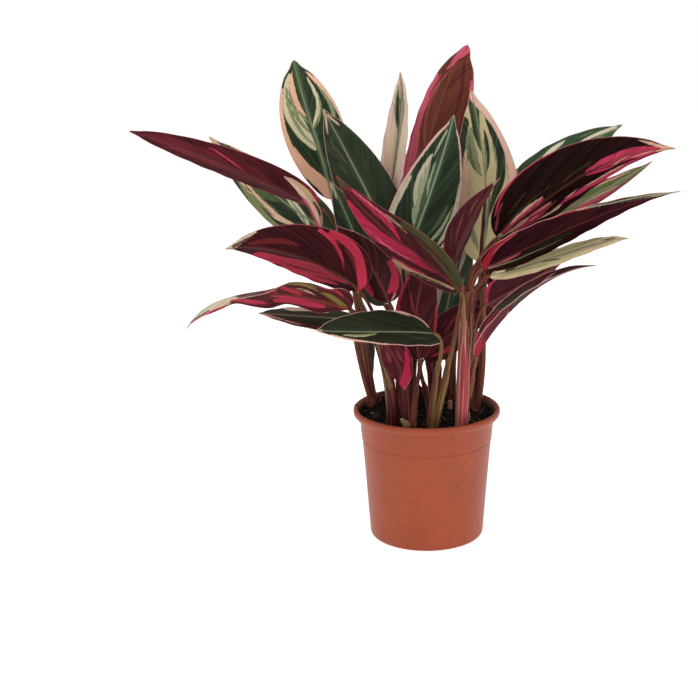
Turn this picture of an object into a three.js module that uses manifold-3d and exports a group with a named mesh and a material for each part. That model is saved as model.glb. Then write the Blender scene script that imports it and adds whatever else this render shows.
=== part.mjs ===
// A stromanthe triostar in its plastic nursery pot.
// Millimetres, +Z up, origin at the centre of the pot's base on the ground, front towards -Y.
import * as THREE from 'three';
import { mergeVertices } from 'three/addons/utils/BufferGeometryUtils.js';
import Module from 'manifold-3d';

const wasm = await Module();
wasm.setup();

// ---------------------------------------------------------------- driving dimensions
const potHeight = 126;        // ground to the top of the rim
const rimRadius = 70;         // outside of the rim's band
const rimBand = 8;            // height of the band
const lip = 1.4;              // the band's bevelled edges
const neckRadius = 64;        // wall just under the band
const baseRadius = 54.8;      // wall just above the rounded bottom edge
const wall = 2.2;
const floorThickness = 2.6;
const edgeRound = 3;          // rounded bottom edge
const roundShare = 0.3;       // where its middle lies between the two walls' lines
const insideBevel = 2;        // between the wall and the floor
const stepDrop = 30;          // from the rim's top down to the step line on the wall
const stepDepth = 0.5;
const stepSlope = 1;
const potSides = 40;

const drainHoles = 8;
const drainRadius = 4;
const drainCircle = 36;
const drainSides = 10;

const gap = 0.3;              // between pieces that touch
const soilLevel = 117;        // soil surface at the wall
const soilRings = 7;
const soilSides = 36;
const rippleHeight = 0.7;     // the surface's small unevenness
const ripples = [0.31, 0.27];
const wallFade = 0.2;         // share of the heaps left at the wall

const crownRadius = 6.4;      // of the knot a shoot's stalks grow from
const crownDepth = 20;        // how far it reaches into the soil
const crownRise = 4;          // and how far it stands out
const crownSides = 10;
const stemRadius = 5.2;       // of a stem of wrapped sheaths at its top
const stemFootRadius = 5.6;
const budRadius = 3.4;
const budTipRadius = 0.6;
const budRows = 3;
const stubFoot = [22, 14];    // the cut stub of an old stalk
const stubRadius = 2.2;
const stubHeight = 9;
const stubDepth = 6;
const stubSides = 8;

const bladeThickness = 0.9;
const bladeCells = 4;         // across the blade
const bladeRows = 10;         // along the blade
const stalkRadius = 1.7;      // at the blade
const sheathRadius = 3.3;     // at the foot
const stalkTaper = 1.3;
const stalkSides = 6;
const stalkRows = 6;

// ---------------------------------------------------------------- finishes
const finish = (color, roughness) => new THREE.MeshStandardMaterial({ color, roughness, metalness: 0 });
const potPlastic = finish(0xb0583e, 0.5);
const peat = finish(0x2c201b, 0.95);
const stalkSkin = finish(0x8a4a3c, 0.5);
const leafSkin = finish(0x3c5a3c, 0.45);
const cutWood = finish(0xb8703a, 0.8);

// ---------------------------------------------------------------- the plant
// A shoot stands at its foot [x, y]; its leaves name it. Where their sheaths wrap into one stem, stem is
// the stem's top; bud is the tip of a young shoot beside it.
const shoots = {
  shoot_01: { foot: [-52, 14] },
  shoot_02: { foot: [-32, -28] },
  shoot_03: { foot: [-16, -40], bud: [-24, -44, 128] },
  shoot_04: { foot: [5, -42] },
  shoot_05: { foot: [32, -40], stem: [36, -36, 246], bud: [40, -32, 130] },
  shoot_06: { foot: [46, 14] },
  shoot_07: { foot: [8, 8] },
  shoot_08: { foot: [-16, 44] },
  shoot_09: { foot: [24, 44] },
};

// Each leaf: the shoot it grows on; its midrib from base to tip, 3 or 4 points; face, the way its upper
// side looks, and where it twists faceTip; its full width. fold is how far each half rises from the
// midrib at the base, foldTip the same at the tip, and curl how far the half bends on to its edge,
// in degrees, [left, right] seen from above with the tip ahead. wave is the height of a waved edge, and
// shape how rounded its base and how sharp its tip is, where they differ from the usual ones.
// start is where its stalk leaves the shoot, from the top of the crown or of the stem, and leave the
// way it goes there; reach is the share of the stalk over which it takes up the midrib's direction and
// slim how thick the stalk is beside the others.
const leaves = {
  // front left
  leaf_01: { shoot: 'shoot_01', rib: [[-99, -10, 319], [-146, -30, 345], [-203, -54, 373], [-251, -75, 392]],
    face: [0, 0.8, 0.6], faceTip: [-0.3, 0.9, 0.2], width: 36, fold: [56, 40], foldTip: [74, 38],
    start: [-1, -2, -3], leave: [-0.3, -0.1, 1], slim: 0.72 },
  leaf_03: { shoot: 'shoot_02', rib: [[-96, -36, 303], [-109, -44, 331], [-124, -52, 351]],
    face: [0.9, -0.3, 0.3], width: 18, fold: [50, 50], curl: [30, 30], start: [-2, 1, -3] },
  leaf_04: { shoot: 'shoot_02', rib: [[-60, -50, 249], [-86, -70, 273], [-125, -96, 294], [-167, -118, 299]],
    face: [-0.1, 0.8, 0.5], faceTip: [-0.4, 0.8, 0.4], width: 67, fold: [28, 41], shape: [0.5, 1],
    start: [-1, -3, -3] },
  leaf_05: { shoot: 'shoot_03', rib: [[-34, -34, 235], [-44, -44, 260], [-57, -56, 285], [-78, -70, 311]],
    face: [0.2, 0.9, 0.4], width: 42, fold: [20, 20], start: [-2, 0, -3] },
  leaf_06: { shoot: 'shoot_02',
    rib: [[-68, -75, 238], [-108, -102, 256], [-159, -130, 262], [-197, -150, 238]],
    face: [0, 0.6, 0.8], faceTip: [-0.5, 0.5, 0.6], width: 46, fold: [32, 15], curl: [-25, -25],
    wave: 3, foldTip: [-45, 12], start: [2, -2, -3] },
  leaf_07: { shoot: 'shoot_03', rib: [[-56, -35, 219], [-104, -60, 228], [-146, -85, 237]],
    face: [0.3, -0.2, 0.9], width: 42, fold: [5, 5], start: [-1, 3, -3] },
  leaf_08: { shoot: 'shoot_04',
    rib: [[5, -84, 218], [-24, -106, 225], [-58, -138, 233], [-89, -165, 241]],
    face: [0.4, -0.1, 0.9], faceTip: [0.4, -0.3, 0.9], width: 57, fold: [20, 20],
    shape: [0.28, 0.8], start: [-1, -3, -3] },
  leaf_27: { shoot: 'shoot_02', rib: [[-38, -62, 204], [-25, -68, 186], [-20, -74, 164]],
    face: [0.3, 1, -0.1], width: 28, fold: [20, 20], start: [3, 0, -3] },
  // middle
  leaf_10: { shoot: 'shoot_07', rib: [[-18, 20, 250], [-49, 32, 312], [-74, 40, 360], [-97, 45, 403]],
    face: [0, -1, 0.2], width: 54, fold: [15, 15], start: [-3, 0, -3] },
  leaf_11: { shoot: 'shoot_03', rib: [[-38, -5, 227], [-54, -4, 261], [-70, -6, 302], [-87, -10, 342]],
    face: [0.3, -1, 0.1], width: 38, fold: [20, 20], start: [-1, 2, -3],
    leave: [-0.3, 0.2, 1] },
  leaf_12: { shoot: 'shoot_04', rib: [[30, -52, 249], [-3, -74, 281], [-37, -97, 313], [-74, -120, 360]],
    face: [-0.4, 0.9, 0.2], width: 43, fold: [40, 48], start: [2, -2, -3],
    leave: [0.2, -0.1, 1], reach: 0.05 },
  leaf_13: { shoot: 'shoot_07', rib: [[-20, 15, 267], [-6, 15, 302], [10, 18, 347], [25, 20, 399]],
    face: [0, -1, 0], width: 62, fold: [15, 10], start: [-1, -2, -3] },
  leaf_14: { shoot: 'shoot_07', rib: [[-35, 56, 316], [-30, 60, 355], [-25, 64, 398], [-25, 66, 435]],
    face: [-0.1, -1, 0.1], width: 42, fold: [58, 58], curl: [0, 0], start: [-1, 3, -3] },
  leaf_15: { shoot: 'shoot_07', rib: [[-21, 42, 284], [-3, 52, 350], [15, 62, 412], [39, 78, 460]],
    face: [0.5, 0.8, -0.3], width: 73, fold: [66, 36], shape: [0.5, 0.62], start: [2, 1, -3] },
  leaf_25: { shoot: 'shoot_03',
    rib: [[-7, -20, 178], [-10, -20, 215], [-5, -21, 248], [7, -22, 285]], face: [0, 1, 0],
    width: 40, fold: [20, 20], start: [3, 0, -3] },
  leaf_26: { shoot: 'shoot_04', rib: [[-3, -8, 175], [20, 2, 195], [43, 13, 211], [68, 24, 224]],
    face: [-0.4, 0.9, 0], width: 42, fold: [20, 20], start: [-1, 2, -3], leave: [0, 0.2, 1] },
  leaf_29: { shoot: 'shoot_07', rib: [[15, 40, 191], [27, 50, 244], [40, 58, 290]],
    face: [0, -1, 0.2], width: 38, fold: [20, 20], start: [3, 0, -3] },
  // right
  leaf_16: { shoot: 'shoot_06', rib: [[53, 40, 258], [57, 50, 312], [53, 60, 363], [42, 70, 419]],
    face: [-0.2, -1, 0.2], width: 66, fold: [12, 12], start: [-2, 2, -3] },
  leaf_17: { shoot: 'shoot_05', rib: [[24, -38, 271], [40, -50, 314], [63, -66, 352]],
    face: [-0.2, 0.9, 0.4], width: 36, fold: [60, 60], shape: [0.5, 1.3], start: [-2, -1, -14] },
  leaf_18: { shoot: 'shoot_05',
    rib: [[64, -22, 292], [110, -38, 332], [158, -53, 364], [212, -69, 377]],
    face: [-0.1, 0.9, 0.5], width: 68, fold: [35, 35], shape: [0.5, 1.05], start: [2, 1, -10] },
  leaf_19: { shoot: 'shoot_06', rib: [[73, 62, 301], [125, 74, 348], [190, 86, 385]],
    face: [-0.3, -0.8, 0.5], width: 48, fold: [10, 10], start: [1, 3, -3], leave: [0.15, 0.1, 1] },
  leaf_20: { shoot: 'shoot_06', rib: [[68, 8, 285], [124, 12, 302], [168, 16, 325], [209, 20, 357]],
    face: [-0.4, -0.1, 0.9], width: 50, fold: [50, 50], start: [2, 0, -3], leave: [0.2, 0, 1] },
  leaf_21: { shoot: 'shoot_05', rib: [[51, -36, 267], [104, -56, 297], [161, -76, 326], [213, -95, 344]],
    face: [-0.1, 0.7, 0.7], faceTip: [-0.2, 0.3, 0.9], width: 58, fold: [15, 15], start: [2, -2, -20] },
  leaf_22: { shoot: 'shoot_05', rib: [[58, -20, 257], [102, -36, 273], [143, -52, 290], [176, -64, 299]],
    face: [-0.4, -0.2, 0.9], width: 36, fold: [10, 10], start: [1, 2, -26] },
  leaf_23: { shoot: 'shoot_05', rib: [[56, -8, 228], [86, -12, 246], [124, -16, 269]],
    face: [-0.2, 0.8, 0.5], width: 36, fold: [20, 34], start: [0, 2, -92], leave: [0.2, 0.3, 1] },
  leaf_24: { shoot: 'shoot_05', rib: [[46, -45, 188], [68, -58, 226], [103, -72, 261], [146, -86, 279]],
    face: [-0.9, -0.1, 0.5], faceTip: [-0.4, 0, 0.9], width: 30, fold: [52, 52], foldTip: [20, 20],
    curl: [-10, -10], start: [2, 2, -100], leave: [0.2, 0, 1] },
  leaf_35: { shoot: 'shoot_05', rib: [[56, -2, 246], [78, -2, 257], [112, -2, 278]],
    face: [-0.1, 0.9, 0.3], width: 34, fold: [20, 20], start: [1, 3, -62], leave: [0.1, 0.2, 1] },
  leaf_28: { shoot: 'shoot_05', rib: [[49, -8, 267], [51, -14, 303], [53, -20, 335]],
    face: [0.1, 1, 0.2], width: 24, fold: [75, 75], curl: [20, 20], start: [0, 0, -12] },
  // back
  leaf_02: { shoot: 'shoot_01', rib: [[-87, 34, 285], [-143, 46, 321], [-207, 58, 376]],
    face: [-0.2, -0.9, 0.2], width: 50, fold: [12, 20], start: [2, 1, -3], leave: [-0.2, 0.1, 1],
    slim: 0.72 },
  leaf_09: { shoot: 'shoot_01',
    rib: [[-92, 74, 314], [-106, 89, 364], [-119, 101, 404], [-130, 112, 445]], face: [0, -1, 0.3],
    width: 61, fold: [28, 12], shape: [0.6, 0.76], start: [-2, 2, -3], leave: [-0.1, 0.2, 1],
    slim: 0.72 },
  leaf_30: { shoot: 'shoot_08', rib: [[-58, 70, 182], [-61, 76, 152], [-55, 80, 128]],
    face: [0.5, 0.8, 0.3], width: 20, fold: [15, 15], start: [-3, 0, -3] },
  leaf_31: { shoot: 'shoot_08', rib: [[-55, 75, 225], [-110, 112, 255], [-170, 145, 255]],
    face: [0.2, -0.2, 1], width: 48, fold: [15, 15], start: [-2, 2, -3] },
  leaf_32: { shoot: 'shoot_08', rib: [[-30, 85, 260], [-48, 145, 310], [-62, 210, 325]],
    face: [0, -0.4, 0.9], width: 50, fold: [15, 15], start: [0, 3, -3] },
  leaf_33: { shoot: 'shoot_09', rib: [[15, 90, 265], [14, 155, 312], [10, 228, 325]],
    face: [0, -0.4, 0.9], width: 54, fold: [15, 15], start: [-2, 2, -3] },
  leaf_34: { shoot: 'shoot_09', rib: [[45, 80, 262], [72, 135, 300], [105, 195, 315]],
    face: [-0.2, -0.4, 0.9], width: 46, fold: [15, 15], start: [1, 3, -3] },
  leaf_36: { shoot: 'shoot_08', rib: [[-5, 88, 195], [-10, 150, 222], [-18, 215, 205]],
    face: [0, -0.1, 1], width: 44, fold: [10, 10], start: [2, 2, -3] },
  leaf_37: { shoot: 'shoot_09', rib: [[30, 88, 176], [55, 138, 195], [85, 192, 188]],
    face: [0, -0.1, 1], width: 42, fold: [10, 10], start: [2, -2, -3] },
};

const vector = (point) => new THREE.Vector3(...point);

// ---------------------------------------------------------------- solids and geometries
function asSolid(geometry) {
  const bare = geometry.clone();
  bare.deleteAttribute('normal');
  bare.deleteAttribute('uv');
  const merged = mergeVertices(bare, 1e-4);
  const vertProperties = new Float32Array(merged.attributes.position.array);
  const triVerts = new Uint32Array(merged.index.array);
  return new wasm.Manifold(new wasm.Mesh({ numProp: 3, vertProperties, triVerts }));
}

function asGeometry(solid) {
  const mesh = solid.getMesh();
  const geometry = new THREE.BufferGeometry();
  geometry.setAttribute('position', new THREE.BufferAttribute(mesh.vertProperties, 3));
  geometry.setIndex(new THREE.BufferAttribute(mesh.triVerts, 1));
  geometry.computeVertexNormals();
  return geometry;
}

function closedGeometry(points, triangles) {
  const geometry = new THREE.BufferGeometry();
  const places = points.flatMap((point) => [point.x, point.y, point.z]);
  geometry.setAttribute('position', new THREE.Float32BufferAttribute(places, 3));
  geometry.setIndex(triangles.flat());
  geometry.computeVertexNormals();
  return geometry;
}

const fuse = (solids) => solids.reduce((whole, solid) => whole.add(solid));

// An upright rod of the given radius between two heights.
function uprightRod(radius, low, high, sides) {
  const rod = new THREE.CylinderGeometry(radius, radius, high - low, sides);
  rod.rotateX(Math.PI / 2);
  rod.translate(0, 0, (low + high) / 2);
  return asSolid(rod);
}

// ---------------------------------------------------------------- pot
function wallRadius(z) {
  return THREE.MathUtils.mapLinear(z, edgeRound, potHeight - rimBand, baseRadius, neckRadius);
}

function potProfile() {
  const stepZ = potHeight - stepDrop;
  const bandZ = potHeight - rimBand;
  const insideRadius = baseRadius - wall;
  const outside = [
    [0, 0], [baseRadius - edgeRound, 0],
    [baseRadius - roundShare * edgeRound, roundShare * edgeRound], [baseRadius, edgeRound],
    [wallRadius(stepZ) - stepDepth, stepZ - stepSlope], [wallRadius(stepZ), stepZ],
    [neckRadius, bandZ], [rimRadius - lip, bandZ], [rimRadius, bandZ + lip],
    [rimRadius, potHeight - lip], [rimRadius - lip, potHeight],
  ];
  const inside = [
    [rimRadius - 2 * lip, potHeight], [neckRadius - lip, potHeight - 3 * lip], [neckRadius - wall, bandZ],
    [insideRadius, floorThickness + insideBevel], [insideRadius - insideBevel, floorThickness],
    [0, floorThickness],
  ];
  return [...outside, ...inside].map(([r, z]) => new THREE.Vector2(r, z));
}

function potGeometry() {
  const turned = new THREE.LatheGeometry(potProfile(), potSides);
  turned.rotateX(Math.PI / 2);
  let solid = asSolid(turned);
  for (let i = 0; i < drainHoles; i += 1) {
    const angle = (i + 0.5) * 2 * Math.PI / drainHoles;
    const place = [drainCircle * Math.cos(angle), drainCircle * Math.sin(angle), 0];
    const drill = uprightRod(drainRadius, -1, floorThickness + 1, drainSides);
    solid = solid.subtract(drill.translate(place));
  }
  return asGeometry(solid);
}

// ---------------------------------------------------------------- soil
// Low heaps [x, y, height, spread] on the level fill.
const heaps = [[-40, 24, 14, 22], [-8, 47, 14, 22], [12, 0, 2, 26], [44, 30, 3, 20]];

function soilHeight(x, y) {
  let height = soilLevel + rippleHeight * Math.sin(x * ripples[0] + 1) * Math.cos(y * ripples[1]);
  for (const [hx, hy, rise, spread] of heaps) {
    height += rise * Math.exp(-((x - hx) ** 2 + (y - hy) ** 2) / (spread * spread));
  }
  return height;
}

function soilGeometry() {
  const points = [];
  const triangles = [];
  const topRadius = neckRadius - wall - 3 * gap;
  for (let ring = 1; ring <= soilRings; ring += 1) {
    for (let i = 0; i < soilSides; i += 1) {
      const angle = i * 2 * Math.PI / soilSides;
      const radius = topRadius * ring / soilRings;
      const x = radius * Math.cos(angle);
      const y = radius * Math.sin(angle);
      const fade = ring === soilRings ? wallFade : 1;
      points.push(new THREE.Vector3(x, y, soilLevel + fade * (soilHeight(x, y) - soilLevel)));
    }
  }
  const footRadius = baseRadius - wall - insideBevel - gap;
  for (let i = 0; i < soilSides; i += 1) {
    const angle = i * 2 * Math.PI / soilSides;
    const foot = floorThickness + gap;
    points.push(new THREE.Vector3(footRadius * Math.cos(angle), footRadius * Math.sin(angle), foot));
  }
  points.push(new THREE.Vector3(0, 0, soilHeight(0, 0)), new THREE.Vector3(0, 0, floorThickness + gap));
  const top = points.length - 2;
  const bottom = points.length - 1;
  for (let i = 0; i < soilSides; i += 1) {
    const next = (i + 1) % soilSides;
    triangles.push([top, i, next], [bottom, soilRings * soilSides + next, soilRings * soilSides + i]);
    for (let ring = 0; ring < soilRings; ring += 1) {
      const a = ring * soilSides;
      const b = a + soilSides;
      triangles.push([a + i, b + i, b + next], [a + i, b + next, a + next]);
    }
  }
  return closedGeometry(points, triangles);
}

// An upright rod at a foot [x, y], from a depth below the soil's surface there to a height above it.
function standingRod(foot, radius, depth, height, sides) {
  const surface = soilHeight(...foot);
  return uprightRod(radius, surface - depth, surface + height, sides).translate([...foot, 0]);
}

// The holes the crowns and the stub stand in.
function soilWithHoles() {
  let solid = asSolid(soilGeometry());
  for (const { foot } of Object.values(shoots)) {
    const hole = standingRod(foot, crownRadius + gap, crownDepth + gap, potHeight, crownSides);
    solid = solid.subtract(hole);
  }
  const stubHole = standingRod(stubFoot, stubRadius + gap, stubDepth + gap, potHeight, stubSides);
  return asGeometry(solid.subtract(stubHole));
}

const stubGeometry = () => asGeometry(standingRod(stubFoot, stubRadius, stubDepth, stubHeight, stubSides));

// ---------------------------------------------------------------- leaf blades
// The smooth midrib that passes through 3 or 4 evenly spaced points.
function ribCurve(points) {
  const p = points.map(vector);
  const mix = (shares, whole) => {
    const sum = new THREE.Vector3();
    p.forEach((point, i) => sum.addScaledVector(point, shares[i] / whole));
    return sum;
  };
  if (p.length === 3) return new THREE.QuadraticBezierCurve3(p[0], mix([-1, 4, -1], 2), p[2]);
  return new THREE.CubicBezierCurve3(p[0], mix([-5, 18, -9, 2], 6), mix([2, -9, 18, -5], 6), p[3]);
}

// Half the width along the blade, 1 at the widest: a rounded base and a long pointed tip.
const baseRoundness = 0.5;
const tipSharpness = 0.9;
function outline(leaf, t) {
  const [roundness, sharpness] = leaf.shape ?? [baseRoundness, tipSharpness];
  const widest = roundness / (roundness + sharpness);
  const rise = Math.max(t, 0) / widest;
  const fall = Math.max(1 - t, 0) / (1 - widest);
  return rise ** roundness * fall ** sharpness;
}

const degrees = Math.PI / 180;
const narrowest = 1.3;        // half width of the blade at its two ends
const waves = 3;              // along a waved edge
const usualCurl = [-20, -20];
const usualLeave = [0, 0, 1]; // the way a stalk leaves its shoot
const riseShare = 0.5;        // share of the stalk's length it keeps going that way
const reachShare = 0.2;       // and share over which it takes up the midrib's direction
const smooth = (t) => t * t * (3 - 2 * t);

// A point on the blade's upper side and the normal there: t from base to tip, u from edge to edge.
function bladePoint(leaf, curve, t, u) {
  const side = u < 0 ? 0 : 1;
  const sign = u < 0 ? -1 : 1;
  const v = Math.abs(u);
  const along = curve.getTangent(t).normalize();
  const looks = vector(leaf.face).lerp(vector(leaf.faceTip ?? leaf.face), t);
  const up = looks.addScaledVector(along, -looks.dot(along)).normalize();
  const across = along.clone().cross(up);
  const half = narrowest + (leaf.width / 2 - narrowest) * outline(leaf, t);
  const foldTip = (leaf.foldTip ?? leaf.fold)[side];
  const fold = THREE.MathUtils.lerp(leaf.fold[side], foldTip, smooth(t)) * degrees;
  const curl = (leaf.curl ?? usualCurl)[side];
  const bend = (curl === 0 ? 0.1 : curl) * degrees;
  const angle = fold + bend * v;
  const reach = half * (Math.sin(angle) - Math.sin(fold)) / bend;
  const lift = half * (Math.cos(fold) - Math.cos(angle)) / bend;
  const wave = (leaf.wave ?? 0) * outline(leaf, t) * v * v * Math.sin(2 * Math.PI * waves * t + 2 * side);
  const point = curve.getPoint(t).addScaledVector(across, sign * reach).addScaledVector(up, lift + wave);
  const normal = up.clone().multiplyScalar(Math.cos(angle)).addScaledVector(across, -sign * Math.sin(angle));
  return { point, normal };
}

function bladeGeometry(leaf) {
  const curve = ribCurve(leaf.rib);
  const columns = bladeCells + 1;
  const upper = [];
  const lower = [];
  for (let i = 0; i <= bladeRows; i += 1) {
    const t = (1 - Math.cos(Math.PI * i / bladeRows)) / 2;
    for (let j = 0; j < columns; j += 1) {
      const { point, normal } = bladePoint(leaf, curve, t, 2 * j / bladeCells - 1);
      upper.push(point);
      lower.push(point.clone().addScaledVector(normal, -bladeThickness));
    }
  }
  const count = upper.length;
  const triangles = [];
  for (let i = 0; i < bladeRows; i += 1) {
    for (let j = 0; j < bladeCells; j += 1) {
      const a = i * columns + j;
      const b = a + 1;
      const c = b + columns;
      const d = a + columns;
      triangles.push([a, b, c], [a, c, d]);
    }
  }
  const under = triangles.map(([a, b, c]) => [count + a, count + c, count + b]);
  return closedGeometry([...upper, ...lower], [...triangles, ...under, ...edgeTriangles(columns, count)]);
}

// The thin edge between the blade's two faces, once round.
function edgeTriangles(columns, count) {
  const at = (row, column) => row * columns + column;
  const border = [];
  for (let j = 0; j < bladeCells; j += 1) border.push([at(0, j), at(0, j + 1)]);
  for (let i = 0; i < bladeRows; i += 1) border.push([at(i, bladeCells), at(i + 1, bladeCells)]);
  for (let j = bladeCells; j > 0; j -= 1) border.push([at(bladeRows, j), at(bladeRows, j - 1)]);
  for (let i = bladeRows; i > 0; i -= 1) border.push([at(i, 0), at(i - 1, 0)]);
  return border.flatMap(([p, q]) => [[q, p, count + p], [q, count + p, count + q]]);
}

// ---------------------------------------------------------------- shoots
// A closed tapering tube along a curve; radiusAt gives its radius from 0 at the foot to 1 at the end.
function taperedTube(curve, radiusAt, sides, rows) {
  const points = [];
  const triangles = [];
  let side = new THREE.Vector3(1, 0, 0);
  for (let i = 0; i <= rows; i += 1) {
    const t = i / rows;
    const along = curve.getTangent(t).normalize();
    side = side.addScaledVector(along, -side.dot(along)).normalize();
    const other = along.clone().cross(side);
    const centre = curve.getPoint(t);
    for (let k = 0; k < sides; k += 1) {
      const angle = k * 2 * Math.PI / sides;
      points.push(centre.clone().addScaledVector(side, radiusAt(t) * Math.cos(angle))
        .addScaledVector(other, radiusAt(t) * Math.sin(angle)));
    }
  }
  points.push(curve.getPoint(0), curve.getPoint(1));
  const end = rows * sides;
  for (let k = 0; k < sides; k += 1) {
    const next = (k + 1) % sides;
    triangles.push([points.length - 2, next, k], [points.length - 1, end + k, end + next]);
    for (let i = 0; i < rows; i += 1) {
      const a = i * sides;
      const b = a + sides;
      triangles.push([a + k, a + next, b + next], [a + k, b + next, b + k]);
    }
  }
  return closedGeometry(points, triangles);
}

// A point on the axis of a shoot's crown, a distance above its top.
function crownPoint(shoot, above) {
  return new THREE.Vector3(...shoot.foot, soilHeight(...shoot.foot) + crownRise + above);
}

function budGeometry(shoot) {
  const bud = new THREE.LineCurve3(crownPoint(shoot, -crownRise / 2), vector(shoot.bud));
  return taperedTube(bud, (t) => THREE.MathUtils.lerp(budRadius, budTipRadius, t), stalkSides, budRows);
}

function stemGeometry(shoot) {
  const stem = new THREE.LineCurve3(crownPoint(shoot, -crownDepth), vector(shoot.stem));
  return taperedTube(stem, (t) => THREE.MathUtils.lerp(stemFootRadius, stemRadius, t), crownSides, 1);
}

// A stalk leaves the shoot's crown or its stem steeply and bends over to meet its blade's midrib.
function stalkCurve(leaf) {
  const shoot = shoots[leaf.shoot];
  const rib = ribCurve(leaf.rib);
  const arrive = rib.getTangent(0).normalize();
  const foot = shoot.stem ? vector(shoot.stem) : crownPoint(shoot, 0);
  foot.add(vector(leaf.start));
  const end = rib.getPoint(0).addScaledVector(arrive, -gap);
  const span = end.distanceTo(foot);
  const leave = vector(leaf.leave ?? usualLeave).normalize();
  const first = foot.clone().addScaledVector(leave, span * riseShare);
  const second = end.clone().addScaledVector(arrive, -span * (leaf.reach ?? reachShare));
  return new THREE.CubicBezierCurve3(foot, first, second, end);
}

function stalkGeometry(leaf) {
  const slim = leaf.slim ?? 1;
  const radiusAt = (t) => slim * (stalkRadius + (sheathRadius - stalkRadius) * (1 - t) ** stalkTaper);
  return taperedTube(stalkCurve(leaf), radiusAt, stalkSides, stalkRows);
}

function shootGeometry(name) {
  const shoot = shoots[name];
  const parts = [standingRod(shoot.foot, crownRadius, crownDepth, crownRise, crownSides)];
  if (shoot.stem) parts.push(asSolid(stemGeometry(shoot)));
  if (shoot.bud) parts.push(asSolid(budGeometry(shoot)));
  for (const leaf of Object.values(leaves)) {
    if (leaf.shoot === name) parts.push(asSolid(stalkGeometry(leaf)));
  }
  return asGeometry(fuse(parts));
}

// ---------------------------------------------------------------- assembly
function piece(name, geometry, material) {
  const mesh = new THREE.Mesh(geometry, material);
  mesh.name = name;
  return mesh;
}

const plant = new THREE.Group();
plant.name = 'stromanthe_triostar';
plant.add(piece('pot', potGeometry(), potPlastic));
plant.add(piece('soil', soilWithHoles(), peat));
plant.add(piece('stub', stubGeometry(), cutWood));
for (const name of Object.keys(shoots)) plant.add(piece(name, shootGeometry(name), stalkSkin));
for (const [name, leaf] of Object.entries(leaves)) plant.add(piece(name, bladeGeometry(leaf), leafSkin));

export default plant;
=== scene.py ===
# A stromanthe triostar in its nursery pot: the finished surfaces around the solid model.
import bpy
import math
import random
from functools import partial
from mathutils import Euler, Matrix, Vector, noise


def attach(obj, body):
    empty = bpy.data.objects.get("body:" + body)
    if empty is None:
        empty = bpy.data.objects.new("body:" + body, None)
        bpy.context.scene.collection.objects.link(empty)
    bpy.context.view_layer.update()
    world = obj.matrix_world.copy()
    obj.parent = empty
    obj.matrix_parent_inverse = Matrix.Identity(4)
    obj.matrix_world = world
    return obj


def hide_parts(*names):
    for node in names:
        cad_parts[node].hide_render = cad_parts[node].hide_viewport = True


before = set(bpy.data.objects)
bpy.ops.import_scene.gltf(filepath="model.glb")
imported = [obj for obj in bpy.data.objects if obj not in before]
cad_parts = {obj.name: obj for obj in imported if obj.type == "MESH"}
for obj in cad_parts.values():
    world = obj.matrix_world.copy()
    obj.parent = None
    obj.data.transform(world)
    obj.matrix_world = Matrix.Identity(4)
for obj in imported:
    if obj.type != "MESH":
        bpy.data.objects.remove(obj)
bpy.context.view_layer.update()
print("frame loaded:", len(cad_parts), "solids")

mm = 0.001  # the plant's sizes below are in millimetres, Blender's in metres

# A shoot stands at its foot; stem is the top of a stem of wrapped sheaths, bud the tip of a young shoot.
shoots = {
    "shoot_01": {"foot": (-52, 14)},
    "shoot_02": {"foot": (-32, -28)},
    "shoot_03": {"foot": (-16, -40), "bud": (-24, -44, 128)},
    "shoot_04": {"foot": (5, -42)},
    "shoot_05": {"foot": (32, -40), "stem": (36, -36, 246), "bud": (40, -32, 130)},
    "shoot_06": {"foot": (46, 14)},
    "shoot_07": {"foot": (8, 8)},
    "shoot_08": {"foot": (-16, 44)},
    "shoot_09": {"foot": (24, 44)},
}

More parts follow.
